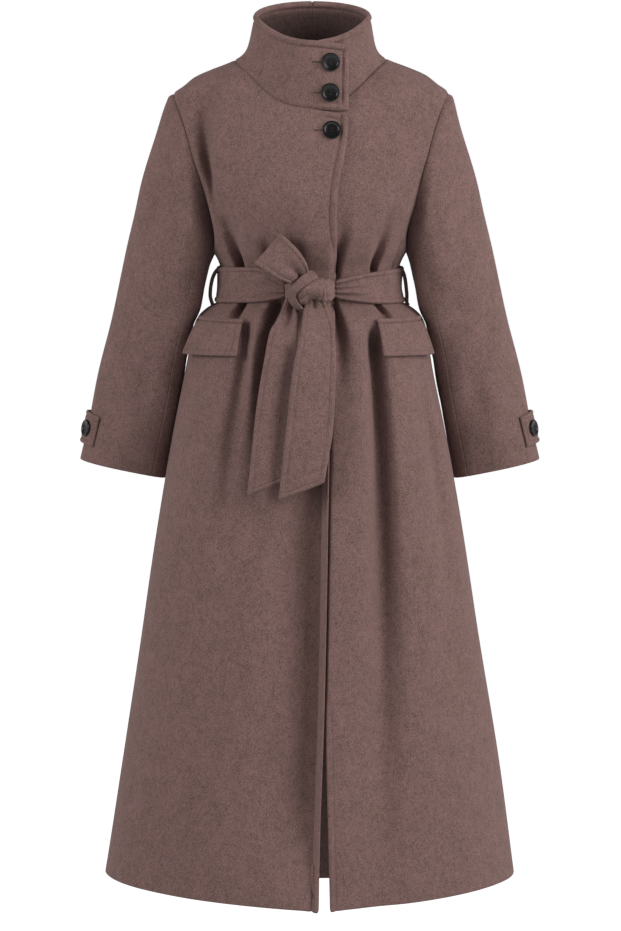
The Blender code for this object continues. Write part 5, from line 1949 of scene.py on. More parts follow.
FRONT_TAIL = rows_of(
    TailRow,
    (-0.342, -0.003, -0.342, 0.016, 0.009), (-0.3515, -0.0045, -0.35, 0.0175, 0.0135),
    (-0.36, -0.0052, -0.359, 0.0195, 0.015), (-0.3715, -0.007, -0.3715, 0.0235, 0.0122),
    (-0.381, -0.0085, -0.381, 0.027, 0.0112), (-0.394, -0.0103, -0.394, 0.0322, 0.013),
    (-0.447, -0.0198, -0.447, 0.0352, 0.0135), (-0.5, -0.0262, -0.496, 0.0344, 0.013),
    (-0.5526, -0.0318, -0.543, 0.0322, 0.0125), (-0.604, -0.0375, -0.585, 0.0262, 0.0125),
    (-0.6516, -0.0427, -0.6241, 0.02, 0.0125),
)
REAR_TAIL = rows_of(
    TailRow,
    (-0.348, -0.03, -0.348, -0.0155, 0.004), (-0.356, -0.0315, -0.356, -0.015, 0.006),
    (-0.364, -0.0345, -0.364, -0.0145, 0.005), (-0.374, -0.04, -0.374, -0.0135, 0.0026),
    (-0.385, -0.047, -0.385, -0.0115, 0.0012), (-0.4005, -0.0563, -0.4005, -0.01, 0.005),
    (-0.4341, -0.0626, -0.4341, -0.012, 0.009), (-0.5132, -0.0746, -0.508, -0.022, 0.0115),
    (-0.58, -0.082, -0.567, -0.028, 0.012), (-0.646, -0.0892, -0.6215, -0.034, 0.012),
)


TAIL_TOP = in_mm(0.0, 3.0)


class Pleat(NamedTuple):
    """A pleat in a belt end: its share of the width, half width, depth, and the heights it fades between."""

    share: float
    half: float
    depth: float
    full: float
    gone: float


FRONT_PLEATS = (
    Pleat(0.46, 0.09, 6.0 * MM, -0.360, -0.395),
    Pleat(0.86, 0.10, 1.5 * MM, -0.360, -0.400),
)
REAR_PLEATS = (
    Pleat(0.47, 0.15, 14.0 * MM, -0.375, -0.425),
    Pleat(0.98, 0.15, 13.0 * MM, -0.375, -0.425),
    Pleat(0.84, 0.34, 14.0 * MM, -0.440, -0.400),
)


@dataclass
class BeltTail(Sewn):
    """A hanging end of the belt, pleated where it leaves the knot."""

    name: str
    table: tuple[TailRow, ...]
    pleats: tuple[Pleat, ...]
    rows: int = 76
    tall: float = 0.29
    clear: float = 0.8 * MM
    swing: float = 2.4 * MM
    swing_turns: float = 2.4
    swing_phase: float = 0.5
    turned: float = 0.45
    stitch_end: float = 4.0 * MM

    def build(self) -> None:
        """Builds the belt end with its stitches."""
        steps = path_lengths(np.array(self.table)[:, :4])
        places = spaced(TAIL_TOP, self.rows, TRIM_EDGE, self.tall) / self.tall
        columns = columns_at(self.table, steps / steps[-1], places)
        left_height, left, right_height, right, off = (column[:, None] for column in columns)
        share, place = np.meshgrid(belt_shares(), places)
        height = left_height + share * (right_height - left_height)
        angle = FORM.angle_at(left + share * (right - left), height)
        points, facing = faced(FORM.envelope, angle, height)
        facing = unit(facing * LEVEL)
        stand = self.swing * np.sin(self.swing_turns * math.pi * place + self.swing_phase) * (share - 0.5)
        for pleat in self.pleats:
            strength = eased((height - pleat.gone) / (pleat.full - pleat.gone))
            stand = stand - pleat.depth * strength * bump(share, pleat.share, pleat.half)
        stand = stand + off + self.clear
        from_first, from_last = share * BELT_WIDTH, (1.0 - share) * BELT_WIDTH
        from_end = (1.0 - place) * self.tall
        nearest = np.minimum(np.minimum(from_first, from_last), from_end)
        outer = raised(points, facing, stand + BELT_CLOTH + BELT_STITCH.relief(nearest))
        inner = raised(points, facing, stand)
        turn_in((outer, inner), (Edge.FIRST, Edge.LAST, Edge.TOP), self.turned * BELT_CLOTH)
        runs = BELT_STITCH.runs(
            outer,
            FORWARD,
            (Edge.FIRST, from_first, self.stitch_end),
            (Edge.LAST, from_last, self.stitch_end),
            (Edge.TOP, from_end, BELT_STITCH.inset),
        )
        self.tailor.sew(ClothWall(f"{self.name}_cloth", outer, inner), Hold.HUNG, [self.name], runs)


@dataclass
class RolledStrap:
    """A rolled strap along a line: oblong in section, squarer as its power falls, grooved on top."""

    centre: Points
    across: Points
    up: Points
    half_width: Points
    half_thickness: Points
    power: float
    sides: int
    groove: float = 0.0
    groove_place: float = 0.55
    groove_half: float = 0.12

    def shell(self, shrink: float) -> Points:
        """Its points, drawn in to a share of its section."""
        turn = round_turns(self.sides)[None, :, None]
        flat, rise = (np.sign(wave) * np.abs(wave) ** self.power for wave in (np.cos(turn), np.sin(turn)))
        groove = bump(np.abs(np.cos(turn)), self.groove_place, self.groove_half) * (np.sin(turn) > 0)
        thick = self.half_thickness[:, None, None] * shrink - self.groove * groove
        wide = self.half_width[:, None, None] * shrink
        return self.centre[:, None] + wide * flat * self.across[:, None] + thick * rise * self.up[:, None]


class CoreRing(NamedTuple):
    """One ring of the knot's core: its place, and its half depth and half height."""

    out: float
    forward: float
    height: float
    half_depth: float
    half_height: float


CORE = rows_of(
    CoreRing,
    (-0.0355, 0.1125, -0.342, 0.0055, 0.0095), (-0.028, 0.118, -0.342, 0.008, 0.011),
    (-0.0215, 0.1265, -0.342, 0.0085, 0.0115), (-0.018, 0.1275, -0.339, 0.01, 0.016),
    (0.006, 0.1275, -0.3385, 0.0105, 0.0165), (0.015, 0.1275, -0.34, 0.0125, 0.0185),
    (0.02, 0.127, -0.3405, 0.0135, 0.019), (0.026, 0.1245, -0.341, 0.013, 0.018),
    (0.032, 0.1195, -0.3412, 0.01, 0.0155), (0.0365, 0.1125, -0.3405, 0.006, 0.012),
)


class KnotPoint(NamedTuple):
    """A place on the strap that curls round the knot, with its half width and thickness and its twist."""

    out: float
    forward: float
    height: float
    half_width: float
    half_thickness: float
    twist: float


CURL = rows_of(
    KnotPoint,
    (0.009, 0.119, -0.325, 0.008, 0.0024, 0.0), (0.006, 0.13, -0.316, 0.0084, 0.0027, 2.0),
    (-0.0005, 0.139, -0.3185, 0.0082, 0.0028, 4.0), (-0.009, 0.144, -0.3245, 0.0078, 0.0028, 5.0),
    (-0.018, 0.144, -0.332, 0.0074, 0.0028, 5.0), (-0.0252, 0.1405, -0.3405, 0.007, 0.0027, 4.0),
    (-0.0272, 0.1375, -0.349, 0.0067, 0.0026, 3.0), (-0.024, 0.1355, -0.3575, 0.0064, 0.0026, 2.0),
    (-0.0178, 0.1315, -0.365, 0.006, 0.0025, 0.0), (-0.0105, 0.1225, -0.371, 0.0052, 0.0022, 0.0),
)


class FaceColumn(NamedTuple):
    """One column of the knot's face: its place, and its reach up, down and forward."""

    out: float
    up: float
    down: float
    forward: float


FACE = rows_of(
    FaceColumn,
    (-0.0215, 0.008, 0.01, 0.009), (-0.0185, 0.0125, 0.018, 0.0135), (-0.013, 0.0155, 0.024, 0.0165),
    (-0.008, 0.0165, 0.0235, 0.0185), (-0.002, 0.0168, 0.0175, 0.0195), (0.006, 0.0168, 0.0145, 0.019),
    (0.013, 0.0165, 0.0135, 0.0175), (0.018, 0.0155, 0.015, 0.015), (0.0205, 0.014, 0.015, 0.0125),
)


class Wrinkle(NamedTuple):
    """A wrinkle across the knot's core: its place, half width, depth and tilt."""

    out: float
    half: float
    depth: float
    tilt: float


WRINKLES = (
    Wrinkle(0.0190, 1.5 * MM, 1.8 * MM, 0.10),
    Wrinkle(0.0248, 1.3 * MM, 1.4 * MM, -0.08),
    Wrinkle(0.0292, 1.2 * MM, 1.1 * MM, 0.12),
)
CORE_PLEATS = (Wave(7, 60.0, 0.6, 0.9 * MM),)


@dataclass
class Knot(Sewn):
    """The belt's knot: a core between the band's ends, a face round it and a strap that curls past."""

    sides: int = 72
    rings: int = 70
    rim_steps: int = 8
    core_hollow: float = 0.45
    pleat_rest: float = 0.4
    pleat_end: float = 0.03
    face_forward: float = 0.1275
    face_height: float = -0.3385
    face_back: float = 0.0125
    face_cloth: float = 4.0 * MM
    crease_start: tuple[float, float] = (-0.0030, -0.0070)
    crease_end: tuple[float, float] = (-0.0145, -0.0150)
    crease_half: float = 2.4 * MM
    crease_depth: float = 2.0 * MM
    curl_about: tuple[float, float, float] = (-0.002, -0.122, -0.341)
    curl_lean: tuple[float, float, float] = (0.25, 1.0, 0.25)
    curl_power: float = 0.8
    curl_groove: float = 0.5 * MM

    def build(self) -> None:
        """Builds the three pieces."""
        self._core()
        self._face()
        self._curl()

    def _round(self, place: Points, forward: Points, height: Points, deep: Points, tall: Points) -> Points:
        """Rings of points round the knot.

        Args:
            place: Their places along X.
            forward: How far forward their middle is.
            height: Their middle's height.
            deep: Half of their depth.
            tall: Half of their height.

        Returns:
            The points, by ring and turn.
        """
        turn = round_turns(self.sides)[None]
        parts = (place, -forward - deep * np.cos(turn), height + tall * np.sin(turn))
        return np.stack(np.broadcast_arrays(*parts), axis=-1)

    def _wrap(self, part: str, shells: Sequence[Points], nodes: Sequence[str]) -> None:
        """Sews one closed piece of the knot between its outer and inner points."""
        wall = ClothWall(f"belt_knot_{part}_cloth", *shells, ring=True, rim_steps=self.rim_steps)
        self.tailor.sew(wall, Hold.FOLDED, nodes)

    def _core(self) -> None:
        """Builds the core: belt cloth gathered into pleats that run out into the band at both ends."""
        outs = np.linspace(CORE[0].out, CORE[-1].out, self.rings)
        columns = columns_at(CORE, [ring.out for ring in CORE], outs)
        place, forward, height, deep, tall = (column[:, None] for column in columns)
        turn = round_turns(self.sides)[None]
        held = self.pleat_rest + (1.0 - self.pleat_rest) * eased(np.abs(place) / self.pleat_end)
        reach = swelling(CORE_PLEATS, turn, place) * held
        for wrinkle in WRINKLES:
            middle = wrinkle.out + wrinkle.tilt * tall * np.sin(turn)
            reach = reach - wrinkle.depth * bump(place, middle, wrinkle.half)
        outer = self._round(place, forward, height, deep + reach, tall + reach)
        inner = self._round(place, forward, height, self.core_hollow * deep, self.core_hollow * tall)
        self._wrap("core", (outer, inner), ["belt_knot_core"])

    def _face(self) -> None:
        """Builds the face: a strap wrapped round the core, drawn in towards its lower left."""
        outs = np.linspace(FACE[0].out, FACE[-1].out, self.rings)
        columns = columns_at(FACE, [column.out for column in FACE], outs)
        place, up, down, ahead = (column[:, None] for column in columns)
        turn = round_turns(self.sides)[None]
        tall = np.where(np.sin(turn) > 0, up, down)
        deep = np.where(np.cos(turn) > 0, ahead, self.face_back)
        start, way = np.array(self.crease_start), np.subtract(self.crease_end, self.crease_start)
        apart = np.stack(np.broadcast_arrays(place, tall * np.sin(turn)), axis=-1) - start
        apart = apart - np.clip(apart @ way / (way @ way), 0.0, 1.0)[..., None] * way
        crease = self.crease_depth * bump(np.linalg.norm(apart, axis=-1), 0.0, self.crease_half)
        drawn_in = (crease * (np.cos(turn) > 0), self.face_cloth)
        middle = (self.face_forward, self.face_height)
        shells = [self._round(place, *middle, deep - inset, tall - inset) for inset in drawn_in]
        self._wrap("face", shells, ["belt_knot_wrap"])

    def _curl(self) -> None:
        """Builds the strap that comes over the top of the knot and curls down past its left side."""
        steps = path_lengths(np.array(CURL)[:, :3])
        places = np.linspace(0.0, steps[-1], self.rings)
        out, forward, height, width, thick, twist = columns_at(CURL, steps, places)
        centre = np.stack([out, -forward, height], axis=-1)
        way = unit(np.gradient(centre, axis=0))
        up = square_to((centre - np.array(self.curl_about)) * np.array(self.curl_lean), way)
        across = np.cross(way, up)
        turn = np.radians(twist)[:, None]
        up, across = up * np.cos(turn) + across * np.sin(turn), across * np.cos(turn) - up * np.sin(turn)
        strap = RolledStrap(centre, across, up, width, thick, self.curl_power, self.sides, self.curl_groove)
        self._wrap("curl", (strap.shell(1.0), strap.shell(self.core_hollow)), [])


class LoopRow(NamedTuple):
    """One level of the bow loop: both edges seen from the front, and how far forward it stands."""

    left: float
    left_height: float
    right: float
    right_height: float
    forward: float


LOOP = rows_of(
    LoopRow,
    (-0.0275, -0.33, -0.003, -0.313, 0.1345), (-0.033, -0.3265, -0.004, -0.304, 0.142),
    (-0.0455, -0.3215, -0.0075, -0.294, 0.15), (-0.06, -0.313, -0.0165, -0.2805, 0.152),
    (-0.071, -0.3055, -0.029, -0.267, 0.149), (-0.0785, -0.301, -0.039, -0.2585, 0.143),
    (-0.0812, -0.2996, -0.0428, -0.256, 0.1375), (-0.079, -0.3008, -0.0395, -0.2585, 0.132),
    (-0.07, -0.306, -0.029, -0.268, 0.1295), (-0.059, -0.313, -0.017, -0.281, 0.129),
    (-0.0455, -0.321, -0.0085, -0.2945, 0.128), (-0.03, -0.328, -0.005, -0.309, 0.125),
)


@dataclass
class BowLoop(Sewn):
    """The bow loop: out from the knot, round its far end and back, pinched where it enters the knot."""

    rows: int = 120
    fold_row: int = 6
    pinch_depth: float = 10.0 * MM
    pinch_place: float = 0.53
    pinch_drift: float = 0.05
    pinch_half: float = 0.09
    pinch_spread: float = 0.16
    pinch_from: float = 0.05
    pinch_reach: float = 0.75
    bulge: float = 2.0 * MM
    cloth: float = 4.5 * MM
    turned: float = 0.45
    stitch_end: float = 6.0 * MM

    def build(self) -> None:
        """Builds the loop."""
        table = np.array(LOOP)
        middle = (table[:, [0, 2]].mean(axis=1), -table[:, 4], table[:, [1, 3]].mean(axis=1))
        steps = path_lengths(np.stack(middle, axis=-1))
        steps = steps / steps[-1]
        places = np.linspace(0.0, 1.0, self.rows)
        columns = columns_at(LOOP, steps, places)
        left, left_height, right, right_height, forward = (column[:, None] for column in columns)
        share, place = np.meshgrid(belt_shares(), places)
        fold = steps[self.fold_row]
        to_far = np.clip(place / fold, 0.0, 1.0)
        pinch = self.pinch_depth * (1.0 - eased((to_far - self.pinch_from) / self.pinch_reach))
        spread = self.pinch_half + self.pinch_spread * to_far
        pinch = pinch * bump(share, self.pinch_place + self.pinch_drift * to_far, spread)
        bulge = self.bulge * np.sin(math.pi * share) * np.sin(math.pi * to_far)
        ahead = forward + np.where(place < fold, bulge - pinch, 0.0)
        height = left_height + share * (right_height - left_height)
        grid = np.stack([left + share * (right - left), -ahead, height], axis=-1)
        up = grid_normals(grid)
        up = up * np.sign(up[: self.rows // 4].mean(axis=(0, 1)) @ FORWARD)
        outer = raised(grid, up, 0.5 * self.cloth + belt_relief(share))
        inner = raised(grid, up, -0.5 * self.cloth)
        turn_in((outer, inner), (Edge.FIRST, Edge.LAST), self.turned * self.cloth)
        runs = []
        for edge, flat in ((Edge.FIRST, share), (Edge.LAST, 1.0 - share)):
            run = BELT_STITCH.run(edge, outer, flat * BELT_WIDTH, edge.first(up)[:, 0])
            runs.append(run.trimmed(self.stitch_end, self.stitch_end))
        self.tailor.sew(ClothWall("belt_bow_loop_cloth", outer, inner), Hold.FOLDED, ["belt_bow_loop"], runs)


class CarrierRow(NamedTuple):
    """One level of a belt carrier: its height and how far it stands off the side seam."""

    height: float
    off: float


CARRIER = rows_of(
    CarrierRow,
    (-0.315, -0.004), (-0.318, 0.001), (-0.323, 0.0055), (-0.33, 0.0092), (-0.339, 0.0118),
    (-0.348, 0.0128), (-0.357, 0.0118), (-0.364, 0.0085), (-0.3685, 0.004), (-0.3715, -0.004),
)


@dataclass
class Carrier(Sewn):
    """A belt carrier: a thin rolled strap on the side seam that stands off round the band."""

    side: Side
    slack: float
    half_width: float = 4.5 * MM
    half_thickness: float = 2.8 * MM
    hollow: float = 0.4
    power: float = 0.6
    rows: int = 60
    sides: int = 20
    rim_steps: int = 8

    def build(self) -> None:
        """Builds the carrier."""
        height, off = np.array(CARRIER).T
        out = FORM.half_width(height) + self.slack * off + SEAM + self.half_thickness
        centre = np.stack([out, FORM.centre(height), height], axis=-1)
        steps = path_lengths(centre)
        line = np.stack(columns_at(centre, steps, np.linspace(0.0, steps[-1], self.rows)), axis=-1)
        up = unit(np.cross(FORWARD, unit(np.gradient(line, axis=0))))
        across = np.broadcast_to(FORWARD, line.shape)
        width, thick = np.full(self.rows, self.half_width), np.full(self.rows, self.half_thickness)
        strap = RolledStrap(line, across, up, width, thick, self.power, self.sides)
        shells = (mirrored(strap.shell(shrink), self.side) for shrink in (1.0, self.hollow))
        name = f"belt_carrier_{self.side.word}"
        wall = ClothWall(f"{name}_cloth", *shells, ring=True, rim_steps=self.rim_steps)
        self.tailor.sew(wall, Hold.FOLDED, [name])


# Buttons


@dataclass
class Seat:
    """A place on the cloth where a button sits."""

    point: Points
    facing: Points

    def turn(self) -> Matrix:
        """The move that takes a button from the origin to its seat, upright on the coat."""
        depth = unit(self.facing)
        across = unit(np.cross([0.0, 0.0, 1.0], depth))
        up = np.cross(depth, across)
        turned = Matrix([list(row) for row in np.stack([across, up, depth], axis=1)]).to_4x4()
        return Matrix.Translation(Vector(self.point)) @ turned


def seat_on(surface: Surface, up: float, out: float, height: float) -> Seat:
    """The seat on a surface at a place seen from the front.

    Args:
        surface: The surface.
        up: A first guess of its second parameter.
        out: The place along X.
        height: The place along Z.

    Returns:
        The seat.
    """
    along = math.asin(out / FORM.neck_half_width)
    for _ in range(SEAT_STEPS):
        point = surface(along, up)
        by_along = (surface(along + SLOPE_STEP, up) - point) / SLOPE_STEP
        by_up = (surface(along, up + SLOPE_STEP) - point) / SLOPE_STEP
        slopes = np.array([[by_along[0], by_up[0]], [by_along[2], by_up[2]]])
        move = np.linalg.solve(slopes, [out - point[0], height - point[2]])
        along, up = along + move[0], up + move[1]
    return Seat(*faced(surface, along, up))


class Fastening(NamedTuple):
    """A front button: its CAD node, its place seen from the front, and where its buttonhole starts."""

    node: str
    out: float
    height: float
    hole_from: float


COLLAR_MIDDLE = 0.5
COLLAR_BUTTONS = (
    Fastening("button_collar", 0.0312, 0.0005, 0.0030),
    Fastening("button_neck", 0.0306, -0.0450, 0.0045),
)
FRONT_BUTTONS = (Fastening("button_front", 0.0329, -0.1011, 0.0060),)


@dataclass
class Buttonhole:
    """A worked buttonhole: two lips of close stitches, with a near-black cord between them as painted shade
    in the slit.
    """

    fastening: Fastening
    surface: Surface
    first_guess: float
    lip: float = 1.5 * MM
    parting: float = 0.3 * MM
    pitch: float = 0.75 * MM
    marks: int = 5
    lip_reach: float = 1.15
    lip_thread: float = 0.42 * MM
    lip_dip: float = 0.3 * MM
    slit_pitch: float = 4.0 * MM
    slit_length: float = 4.4 * MM
    slit_thread: float = 0.45 * MM
    slit_dip: float = 0.1 * MM

    def build(self, tailor: Tailor) -> list[bpy.types.Object]:
        """Builds the lips and the near-black cord of painted shade in the slit.

        Args:
            tailor: Who works it.

        Returns:
            The two pieces.
        """
        start, end = self.fastening.hole_from, self.fastening.out
        marks = np.linspace(start, end, self.marks)
        seats = [seat_on(self.surface, self.first_guess, mark, self.fastening.height) for mark in marks]
        outs = np.linspace(start, end, round((end - start) / self.pitch))
        line = sampled(outs, marks, [seat.point for seat in seats])
        up = sampled(outs, marks, [seat.facing for seat in seats])
        side = np.cross(up, unit(np.gradient(line, axis=0)))
        lips = []
        for sign in (-1.0, 1.0):
            near, far = line + sign * self.parting * side, line + sign * (self.parting + self.lip) * side
            lips.extend(StitchRun(np.stack(ends), np.stack([way, way])) for *ends, way in zip(near, far, up))
        name = self.fastening.node.replace("button", "buttonhole")
        lip_sizes = (self.lip, self.lip_reach * self.lip, self.lip_thread, self.lip_dip)
        slit_sizes = (self.slit_pitch, self.slit_length, self.slit_thread, self.slit_dip)
        lip_stitch = Stitching(f"{name}_lips", lips, *lip_sizes)
        # Painted shade: the slit's opening is a near-black cord laid along it, not a cut.
        slit_shade_cord = Stitching(f"{name}_slit", [StitchRun(line, up)], *slit_sizes)
        pieces = [lip_stitch.build(tailor.thread), slit_shade_cord.build(tailor.dark_thread)]
        for piece in pieces:
            attach(piece, Slot.WOOL)
        return pieces


@dataclass
class ButtonPattern:
    """The button that every one is copied from: dished, four holes, a raised rolled rim, and its thread."""

    resin: bpy.types.Material
    thread: bpy.types.Material
    radius: float = 14.0 * MM
    lift: float = 0.5 * MM
    thickness: float = 0.24
    rim: float = 0.20
    dish: float = 0.10
    slope: float = 0.08
    floor_inset: float = 0.10
    floor_dip: float = 0.4
    back_inset: float = 0.2
    soft_edge: float = 0.055
    soft_steps: int = 4
    soft_from: float = 25.0
    smooth_to: float = 32.0
    flat_from: float = 0.9
    hole_sides: int = 20
    drill_reach: float = 4.0
    thread_shift: float = 0.35
    thread_rise: float = 0.15 * MM
    thread_pitch: float = 2.2
    thread_length: float = 2.3
    thread_radius: float = 0.30 * MM
    thread_dip: float = 1.2 * MM
    thread_rings: int = 8
    thread_points: int = 9
    hole_offset: float = 0.19
    hole_radius: float = 0.085
    sides: int = 96

    def __post_init__(self) -> None:
        """Models the button at the origin."""
        bpy.ops.object.select_all(action="DESELECT")
        self.tall = tall = self.thickness * self.radius
        bpy.ops.mesh.primitive_cylinder_add(
            vertices=self.sides, radius=self.radius, depth=tall, location=(0.0, 0.0, 0.5 * tall)
        )
        self.disc = bpy.context.object
        bpy.ops.object.transform_apply(location=True, rotation=True, scale=True)
        self._dish()
        self._round()
        self._drill()
        bpy.ops.object.shade_smooth_by_angle(angle=math.radians(self.smooth_to))
        self.disc.data.materials.append(self.resin)
        self.threads = self._threads()

    def _edit_end(self, way: float) -> None:
        """Starts to edit the faces at the top or, with a way of -1, at the bottom."""
        bpy.ops.object.mode_set(mode="OBJECT")
        for face in self.disc.data.polygons:
            face.select = way * face.normal.z > self.flat_from
        bpy.ops.object.mode_set(mode="EDIT")

    def _dish(self) -> None:
        """Insets the top face into a rolled rim and a sunk middle."""
        bpy.ops.object.mode_set(mode="EDIT")
        bpy.ops.mesh.select_all(action="DESELECT")
        bpy.ops.mesh.select_mode(type="FACE")
        self._edit_end(1.0)
        floor = (self.floor_inset, self.floor_dip * self.dish)
        for inset, drop in ((self.rim, 0.0), (self.slope, self.dish), floor):
            bpy.ops.mesh.inset(thickness=inset * self.radius, depth=0.0)
            bpy.ops.transform.translate(value=(0.0, 0.0, -drop * self.radius))
        self._edit_end(-1.0)
        bpy.ops.mesh.inset(thickness=self.back_inset * self.radius, depth=0.0)
        bpy.ops.object.mode_set(mode="OBJECT")

    def _round(self) -> None:
        """Rounds every turned edge."""
        soft = self.disc.modifiers.new("rounded", "BEVEL")
        soft.width = self.soft_edge * self.radius
        soft.segments = self.soft_steps
        soft.limit_method = "ANGLE"
        soft.angle_limit = math.radians(self.soft_from)
        bpy.ops.object.modifier_apply(modifier=soft.name)

    def _drill(self) -> None:
        """Cuts the four holes."""
        offset = self.hole_offset * self.radius
        for across, up in ((1, 1), (-1, 1), (-1, -1), (1, -1)):
            bpy.ops.mesh.primitive_cylinder_add(
                vertices=self.hole_sides,
                radius=self.hole_radius * self.radius,
                depth=self.drill_reach * self.tall,
                location=(across * offset, up * offset, 0.0),
            )
            drill = bpy.context.object
            bpy.context.view_layer.objects.active = self.disc
            hole = self.disc.modifiers.new("hole", "BOOLEAN")
            hole.object = drill
            hole.solver = "EXACT"
            bpy.ops.object.modifier_apply(modifier=hole.name)
            bpy.data.objects.remove(drill)
        bpy.ops.object.select_all(action="DESELECT")
        self.disc.select_set(True)

    def _threads(self) -> bpy.types.Object:
        """Adds the threads that pass through the holes."""
        offset = self.hole_offset * self.radius
        floor = self.tall - (1.0 + self.floor_dip) * self.dish * self.radius + self.thread_rise
        up = np.array([0.0, 0.0, 1.0])
        runs = []
        for shift in (-self.thread_shift, self.thread_shift):
            for row in (-1, 1):
                across = row * offset + shift * self.hole_radius * self.radius
                ends = ((-offset, across, floor), (offset, across, floor))
                line = np.linspace(*ends, self.thread_points)
                runs.append(StitchRun(line, np.broadcast_to(up, line.shape)))
        sizes = (self.thread_pitch * offset, self.thread_length * offset, self.thread_radius, self.thread_dip)
        return Stitching("threads", runs, *sizes, rings=self.thread_rings).build(self.thread)

    def sew_on(self, node: str, seat: Seat, size: float = 1.0) -> None:
        """Copies the button and its thread to a seat.

        Args:
            node: The CAD node that it stands for.
            seat: Where it sits.
            size: Its size against the pattern's.
        """
        move = seat.turn() @ Matrix.Scale(size, 4) @ Matrix.Translation((0.0, 0.0, self.lift))
        copies = []
        for part, name in ((self.disc, f"{node}_resin"), (self.threads, f"{node}_thread")):
            mesh = part.data.copy()
            mesh.name = name
            mesh.transform(move)
            copies.append(bpy.data.objects.new(name, mesh))
            bpy.context.scene.collection.objects.link(copies[-1])
            attach(copies[-1], Slot.BUTTON)
        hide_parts(node)
        LOG.info("%s: %d faces", copies[0].name, len(copies[0].data.polygons))

    def put_away(self) -> None:
        """Takes the pattern itself out of the scene."""
        for part in (self.disc, self.threads):
            bpy.data.objects.remove(part)


# Studio


@dataclass
class SoftBox:
    """A large soft lamp that looks at the coat."""

    name: str
    place: tuple[float, float, float]
    size: float
    power: float

    def build(self, aim: Vector) -> None:
        """Hangs the lamp.

        Args:
            aim: Where it looks.
        """
        lamp = bpy.data.lights.new(self.name, "AREA")
        lamp.energy = self.power
        lamp.shape = "DISK"
        lamp.size = self.size
        holder = bpy.data.objects.new(self.name, lamp)
        holder.location = self.place
        holder.rotation_euler = (aim - Vector(self.place)).to_track_quat("-Z", "Y").to_euler()
        bpy.context.scene.collection.objects.link(holder)


@dataclass
class Studio:
    """A plain pale floor, soft light and the camera."""

    aim: tuple[float, float, float] = (0.001, 0.0, -0.6166)
    distance: float = 12.0
    elevation: float = 5.5
    lens: float = 305.3
    sensor: float = 36.0
    floor_below: float = 0.90
    floor_half: float = 300.0
    farthest: float = 1000.0
    daylight: float = 0.36
    lamps: tuple[SoftBox, ...] = (
        SoftBox("key_light", (4.5, -2.4, 1.5), 4.2, 270.0),
        SoftBox("fill_light", (-4.5, -2.6, 1.4), 3.0, 156.0),
    )

    def build(self) -> None:
        """Builds the floor, the lights and the camera."""
        aim = Vector(self.aim)
        scene = bpy.context.scene
        lift = math.radians(self.elevation)
        camera = bpy.data.cameras.new("camera")
        camera.sensor_width = self.sensor
        camera.lens = self.lens
        camera.clip_end = self.farthest
        holder = bpy.data.objects.new("camera", camera)
        holder.location = aim + self.distance * Vector((0.0, -math.cos(lift), math.sin(lift)))
        holder.rotation_euler = (aim - holder.location).to_track_quat("-Z", "Y").to_euler()
        scene.collection.objects.link(holder)
        scene.camera = holder
        for lamp in self.lamps:
            lamp.build(aim)
        world = bpy.data.worlds.new("studio")
        world.use_nodes = True
        background = world.node_tree.nodes["Background"]
        background.inputs["Color"].default_value = (1.0, 1.0, 1.0, 1.0)
        background.inputs["Strength"].default_value = self.daylight
        scene.world = world
        scene.view_settings.view_transform = "Standard"
        self._floor()

    def _floor(self) -> None:
        """Builds the floor."""
        half, level = self.floor_half, CAD_BOX[0][2] - self.floor_below
        corners = [(half * x, half * y, level) for x, y in ((-1, -1), (1, -1), (1, 1), (-1, 1))]
        mesh = bpy.data.meshes.new("floor")
        mesh.from_pydata(corners, [], [(0, 1, 2, 3)])
        mesh.materials.append(PaleFloor().make())
        floor = bpy.data.objects.new("floor", mesh)
        floor.visible_diffuse = False
        bpy.context.scene.collection.objects.link(floor)
        floor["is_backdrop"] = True


# The whole coat

SLEEVE_FULLNESS = {Side.RIGHT: 1.05, Side.LEFT: 0.9}
CARRIER_SLACK = {Side.RIGHT: 1.0, Side.LEFT: 0.66}
FLAP_LIFT = {Side.RIGHT: 15.0 * MM, Side.LEFT: 10.0 * MM}


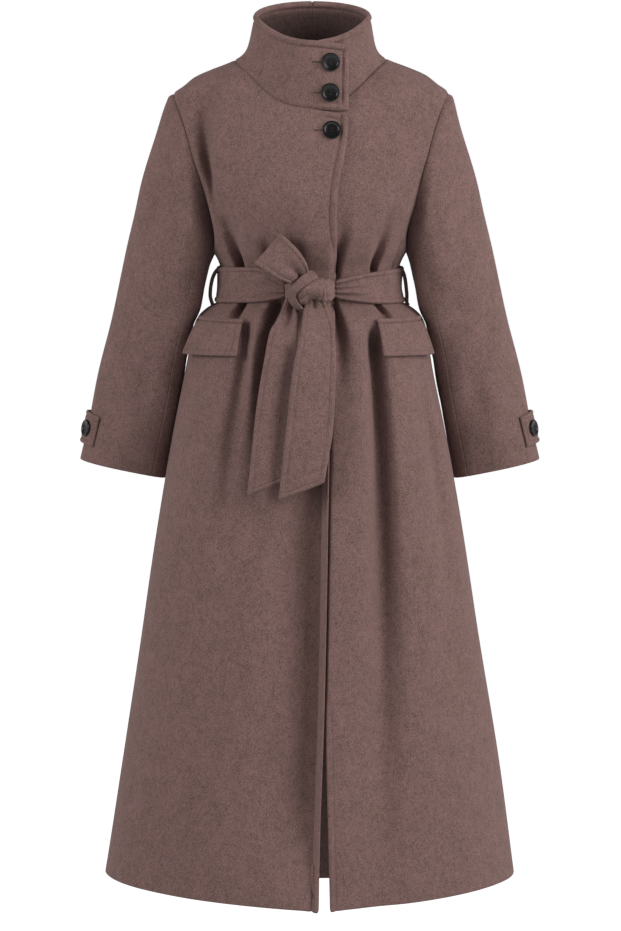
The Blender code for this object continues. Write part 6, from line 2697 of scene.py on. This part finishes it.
@dataclass
class Coat:
    """The coat, in the order in which it is made up."""

    cuff_button_turn: float = 20.0
    cuff_button_size: float = 0.907

    def build(self, tailor: Tailor, pattern: ButtonPattern) -> None:
        """Builds every piece.

        Args:
            tailor: Who sews the cloth.
            pattern: The button to copy.
        """
        collars = {side: Collar(tailor, side) for side in Side}
        sleeves = {side: Sleeve(tailor, side, full) for side, full in SLEEVE_FULLNESS.items()}
        for side in Side:
            Front(tailor, sleeves[side], collars[side]).build()
        Back(tailor, sleeves, collars).build()
        for collar in collars.values():
            collar.build()
        for piece in (BeltBand, Knot, BowLoop):
            piece(tailor).build()
        BeltTail(tailor, "belt_tail_front", FRONT_TAIL, FRONT_PLEATS).build()
        BeltTail(tailor, "belt_tail_rear", REAR_TAIL, REAR_PLEATS).build()
        for side in Side:
            sleeves[side].build()
            Carrier(tailor, side, CARRIER_SLACK[side]).build()
            Pocket(tailor, side, outer_lift=FLAP_LIFT[side]).build()
            tab = CuffTab(tailor, sleeves[side])
            tab.build()
            self._cuff_button(tab, pattern)
        over_collar = collars[Side.RIGHT].surface
        for button in COLLAR_BUTTONS:
            pattern.sew_on(button.node, seat_on(over_collar, COLLAR_MIDDLE, button.out, button.height))
        for button in FRONT_BUTTONS:
            pattern.sew_on(button.node, seat_on(FORM.over, button.height, button.out, button.height))
        pattern.put_away()

    def _cuff_button(self, tab: CuffTab, pattern: ButtonPattern) -> None:
        """Sews the button on a cuff tab.

        Args:
            tab: The tab.
            pattern: The button to copy.
        """
        sleeve = tab.sleeve
        turn, share = math.radians(self.cuff_button_turn), 0.5 * (tab.low + tab.high)
        point, facing = faced(sleeve.smooth, np.array(turn), np.array(share))
        place = (self.cuff_button_turn - tab.first) / (tab.last - tab.first)
        off = LAYER + tab.looseness * math.sin(math.pi * place) + TRIM_CLOTH
        seat = Seat(mirrored(point + off * facing, sleeve.side), mirrored(facing, sleeve.side))
        pattern.sew_on(f"button_cuff_{sleeve.side.word}", seat, self.cuff_button_size)


def main() -> None:
    """Builds the studio and the coat."""
    logging.basicConfig(level=logging.INFO, format="%(name)s: %(message)s")
    Studio().build()
    dark_thread = DARK_THREAD_AND_SLIT_SHADE.make()
    tailor = Tailor(WoolCloth().make(), SewingThread().make(), dark_thread)
    Coat().build(tailor, ButtonPattern(PolishedResin().make(), dark_thread))
    boxes = {"cad": CAD_BOX, "visual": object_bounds()}
    plain = {name: [[float(part) for part in corner] for corner in box] for name, box in boxes.items()}
    LOG.info("%d cloth pieces, %s", tailor.made, plain)


if __name__ == "__main__":
    main()
